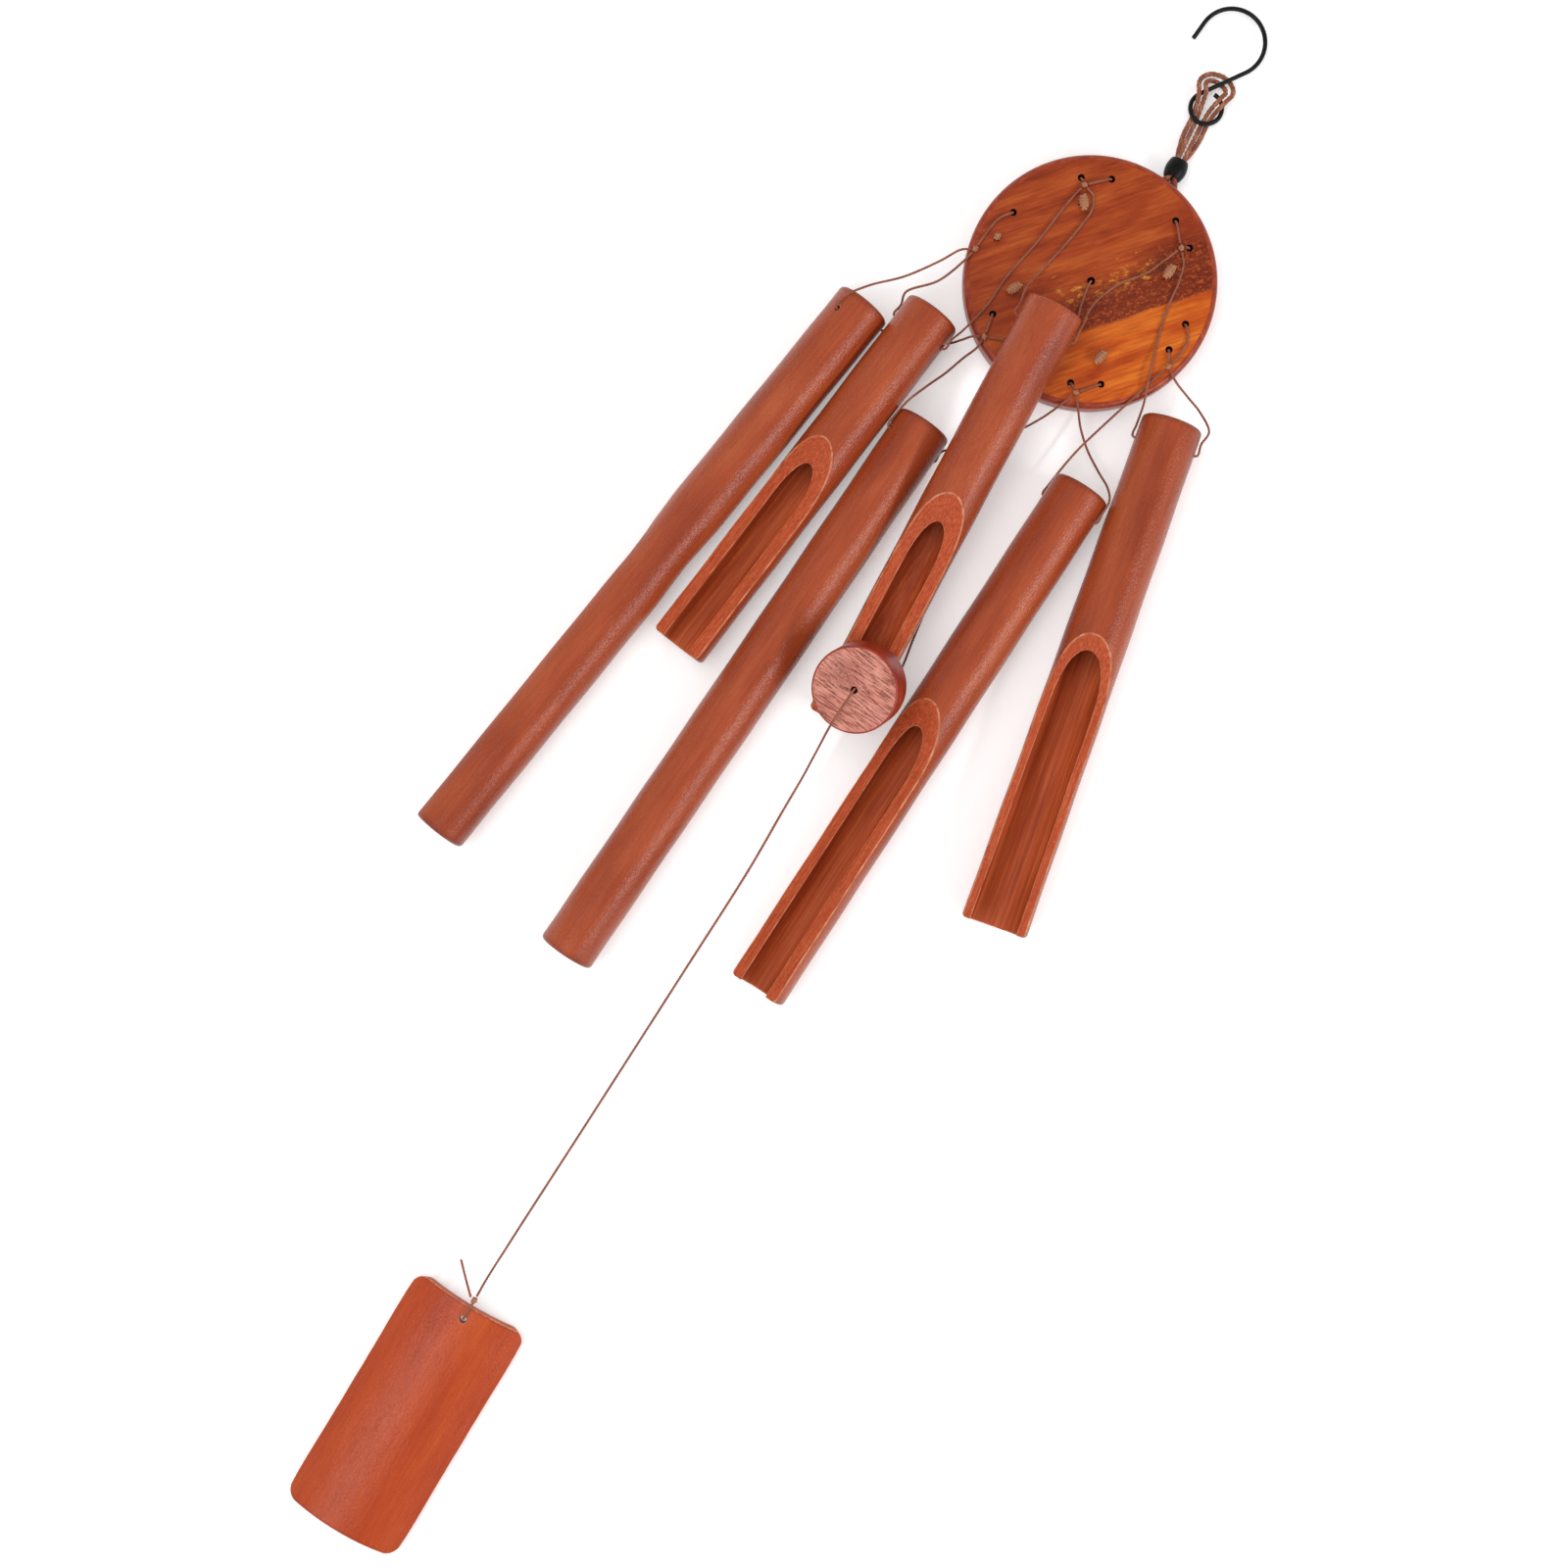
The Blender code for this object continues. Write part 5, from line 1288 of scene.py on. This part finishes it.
def add_tube(number):
    """A scooped culm with its hollow top, open channel, hang holes and rubbed corners."""
    tube = TUBES[number]
    skin, cut_face, inner, rubbed = 0, 1, 2, 3
    top = HANG_DROP
    foot = HANG_DROP - tube.length
    side = []
    for i in range(1, CULM_ROWS):
        share = i / CULM_ROWS
        z = top - TUBE_EDGE - (tube.length - 2 * TUBE_EDGE) * share
        radius = (tube.top_d + (tube.bottom_d - tube.top_d) * share) / 2
        if number in CULM_WAIST:
            middle, spread, depth = CULM_WAIST[number]
            radius -= depth * exp(-((share - middle) / spread) ** 2)
        side.append((radius - CULM_WAVE * sin(2 * pi * z / CULM_LENGTH + number) ** 2, z, skin))
    profile = [(0, top, cut_face), *rounded(tube.top_d / 2, top, TUBE_EDGE, True, skin), *side,
               *rounded(tube.bottom_d / 2, foot, TUBE_EDGE, False, skin), (0, foot, cut_face)]
    profile[-2] = (*profile[-2][:2], cut_face)
    mesh = turned_mesh("tube", profile, TUBE_SIDES)
    bore = tube.top_d / 2 - tube.wall
    foot_bore = tube.bottom_d / 2 - tube.wall
    cup_foot = HANG_DROP - CUP_DEPTH
    septum_foot = cup_foot - SEPTUM
    over = tube.wall
    cup = [(0, top + over, inner), (bore, top + over, inner), (bore, cup_foot, inner), (0, cup_foot, inner)]
    channel = [(0, septum_foot, inner), (bore, septum_foot, inner), (foot_bore, foot - over, inner),
               (0, foot - over, inner)]
    wide = tube_radius(tube)
    cutters = [(turned_mesh("cup", cup, BORE_SIDES), Matrix()),
               (turned_mesh("channel", channel, BORE_SIDES), Matrix()),
               (prism_mesh("scoop", scoop_outline(tube), -wide * 2, wide * 2, cut_face), Matrix()),
               (drill_mesh(HANG_HOLE_D, wide * TUBE_DRILL, inner), Matrix.Rotation(pi / 2, 4, "Y"))]
    looks = [SKIN, CUT, BORE, EDGE]
    mesh = carve(mesh, cutters, looks, (RUB_WIDTH, rubbed))
    place = place_tube(number)
    level = Vector((place.along.x, place.along.y, 0)).normalized()
    axes = Matrix((place.right, place.right.cross(level), -level)).transposed()
    mesh.transform((axes.inverted() @ place.axes @ place.roll).to_4x4())
    where = Matrix.Translation(place.hinge) @ axes.to_4x4()
    name = "tube_%d" % number
    add_piece("bamboo_" + name, mesh, looks, name, [name], where)


def add_striker():
    """A slice of a branch: sawn faces, a smooth side and a drilled hole."""
    sawn, side, drilled = 0, 1, 2
    hole = STRIKER_HOLE_D / 2
    upper = rounded(STRIKER_D / 2, 0, STRIKER_EDGE, True, side)
    lower = rounded(STRIKER_D / 2, -STRIKER_T, STRIKER_EDGE, False, side)
    lower[-1] = (*lower[-1][:2], sawn)
    profile = [(hole, 0, sawn), *upper, *lower, (hole, -STRIKER_T, drilled)]
    mesh = turned_mesh("striker", profile, ROUND_SIDES, ring=True)
    soften(mesh, STRIKER_SHARP)
    axes = Vector((0, 0, 1)).rotation_difference(striker_axis()).to_matrix().to_4x4()
    place = Matrix.Translation(joint_place("sail_swing")) @ axes
    looks = [SAWN, SIDE_WOOD, HOLE_PAINTED_SHADE]
    add_piece("striker_slice", mesh, looks, "striker", ["striker"], place)


SAIL_COLUMNS = 36
SAIL_ROWS = 24
CORNER_STEPS = 8
SAIL_WAVE = 0.0003
SAIL_HALF_WAVES = 3


def add_sail():
    """A slice of a wide culm with rounded corners and a drilled hole, its convex side up."""
    skin, cut_face, inner, rubbed = 0, 1, 2, 3
    low, high = node_box("sail")
    length = high.y - low.y
    width = high.x - low.x
    half_turn = asin(width / 2 / SAIL_RADIUS)
    flat = half_turn * SAIL_RADIUS - SAIL_CORNER
    spots = [flat * (2 * i / SAIL_COLUMNS - 1) for i in range(SAIL_COLUMNS + 1)]
    bends = [flat + SAIL_CORNER * sin(pi / 2 * i / CORNER_STEPS) for i in range(1, CORNER_STEPS + 1)]
    spots = [-s for s in bends[::-1]] + spots + bends
    thin = SAIL_RADIUS - SAIL_T
    edge_height = thin * cos(half_turn)
    work = bmesh.new()
    columns = []
    for spot in spots:
        past = max(0.0, abs(spot) - flat)
        end = length / 2 - SAIL_CORNER + sqrt(max(0.0, SAIL_CORNER ** 2 - past ** 2))
        turn = spot / SAIL_RADIUS
        column = []
        for radius, way in ((SAIL_RADIUS, 1), (thin, -1)):
            for i in range(SAIL_ROWS + 1):
                y = way * end * (1 - 2 * i / SAIL_ROWS)
                dip = SAIL_WAVE * sin(SAIL_HALF_WAVES * pi * y / length) ** 2 if way > 0 else 0.0
                reach = radius - dip
                column.append(work.verts.new((reach * sin(turn), y, reach * cos(turn) - edge_height)))
        columns.append(column)
    count = len(columns[0])
    for left, right in zip(columns, columns[1:]):
        for i in range(count):
            j = (i + 1) % count
            face = work.faces.new((left[i], left[j], right[j], right[i]))
            is_end = i in (SAIL_ROWS, count - 1)
            face.material_index = cut_face if is_end else (skin if i < SAIL_ROWS else inner)
    for column in (columns[0], columns[-1]):
        work.faces.new(column).material_index = cut_face
    mesh = finish_mesh(work, "sail", smooth=True)
    drill = drill_mesh(SAIL_HOLE_D, SAIL_RADIUS * SAIL_DRILL, inner)
    looks = [SAIL_SKIN, CUT, BORE, EDGE]
    hole = Matrix.Translation((0, length / 2 - SAIL_HOLE_INSET, 0))
    mesh = carve(mesh, [(drill, hole)], looks, (RUB_WIDTH, rubbed))
    turned = Matrix.Rotation(-pi / 2, 4, "X")
    mesh.transform(turned.inverted())
    middle = Matrix.Translation(((low.x + high.x) / 2, (low.y + high.y) / 2, low.z))
    add_piece("sail_slice", mesh, looks, "sail", ["sail"], middle @ turned)


BEAD_ROWS = 16


def add_bead(hanger):
    half = BEAD_LENGTH / 2
    bore = BEAD_BORE / 2
    side = []
    for i in range(BEAD_ROWS + 1):
        share = 2 * i / BEAD_ROWS - 1
        radius = BEAD_D / 2 - (BEAD_D - BEAD_END_D) / 2 * share ** 2
        side.append((radius, -half * share, 0))
    mesh = turned_mesh("bead", [(bore, half, 0), *side, (bore, -half, 0)], BEAD_SIDES, ring=True)
    soften(mesh, BEAD_SHARP)
    axes = Matrix((hanger.right, hanger.up.cross(hanger.right), hanger.up)).transposed().to_4x4()
    place = Matrix.Translation(hanger.bead) @ axes
    add_piece("hanger_bead", mesh, [BLACK], "hanger", ["bead"], place)


WIRE_SIDES = 24
HOOK_STEPS = 72
RING_STEPS = 96
TIP_ROUND = 0.0003


def add_hook(hanger):
    """One bent wire: sheared tip, hook, shank, and a ring that closes against the shank."""
    shank_way = polar(1, RING_START - 90).xy
    ring_end = polar(RING_RADIUS, RING_START).xy
    shank_top = ring_end + shank_way * SHANK_LENGTH
    inward = Vector((-shank_way.y, shank_way.x))
    bend = shank_top + inward * HOOK_RADIUS
    first = atan2(-inward.y, -inward.x)
    arc = [first + radians(HOOK_TURN) * i / HOOK_STEPS for i in range(HOOK_STEPS + 1)]
    last = Vector((-sin(arc[-1]), cos(arc[-1])))
    tip = bend + Vector((cos(arc[-1]), sin(arc[-1]))) * HOOK_RADIUS
    outline = [tip + last * TIP_LENGTH]
    outline += [bend + Vector((cos(a), sin(a))) * HOOK_RADIUS for a in arc[::-1]]
    for i in range(RING_STEPS + 1):
        outline.append(polar(RING_RADIUS, RING_START + RING_SPAN * i / RING_STEPS).xy)
    points = [hanger.ring + hanger.right * p.x + hanger.up * p.y for p in outline]
    painted, sheared = 0, 1
    work = bmesh.new()
    sweep(work, points, travelling_frames(points), WIRE_D / 2, painted, sheared, WIRE_SIDES)
    looks = [PAINT, STEEL]
    mesh = carve(finish_mesh(work, "hook"), [], looks, (TIP_ROUND, painted))
    add_piece("hook_wire", mesh, looks, "hook", ["hook"])


add_camera()
add_stage()
for lamp_name in LAMPS:
    add_lamp(lamp_name)
add_pair_loops()
for tube_number in TUBES:
    add_tube_cord(tube_number)
    add_tube(tube_number)
add_striker_cord()
add_sail_cords()
hanger_parts = hanger_places()
add_hanger_cords(hanger_parts)
add_knots()
add_disc()
add_striker()
add_sail()
add_bead(hanger_parts)
add_hook(hanger_parts)
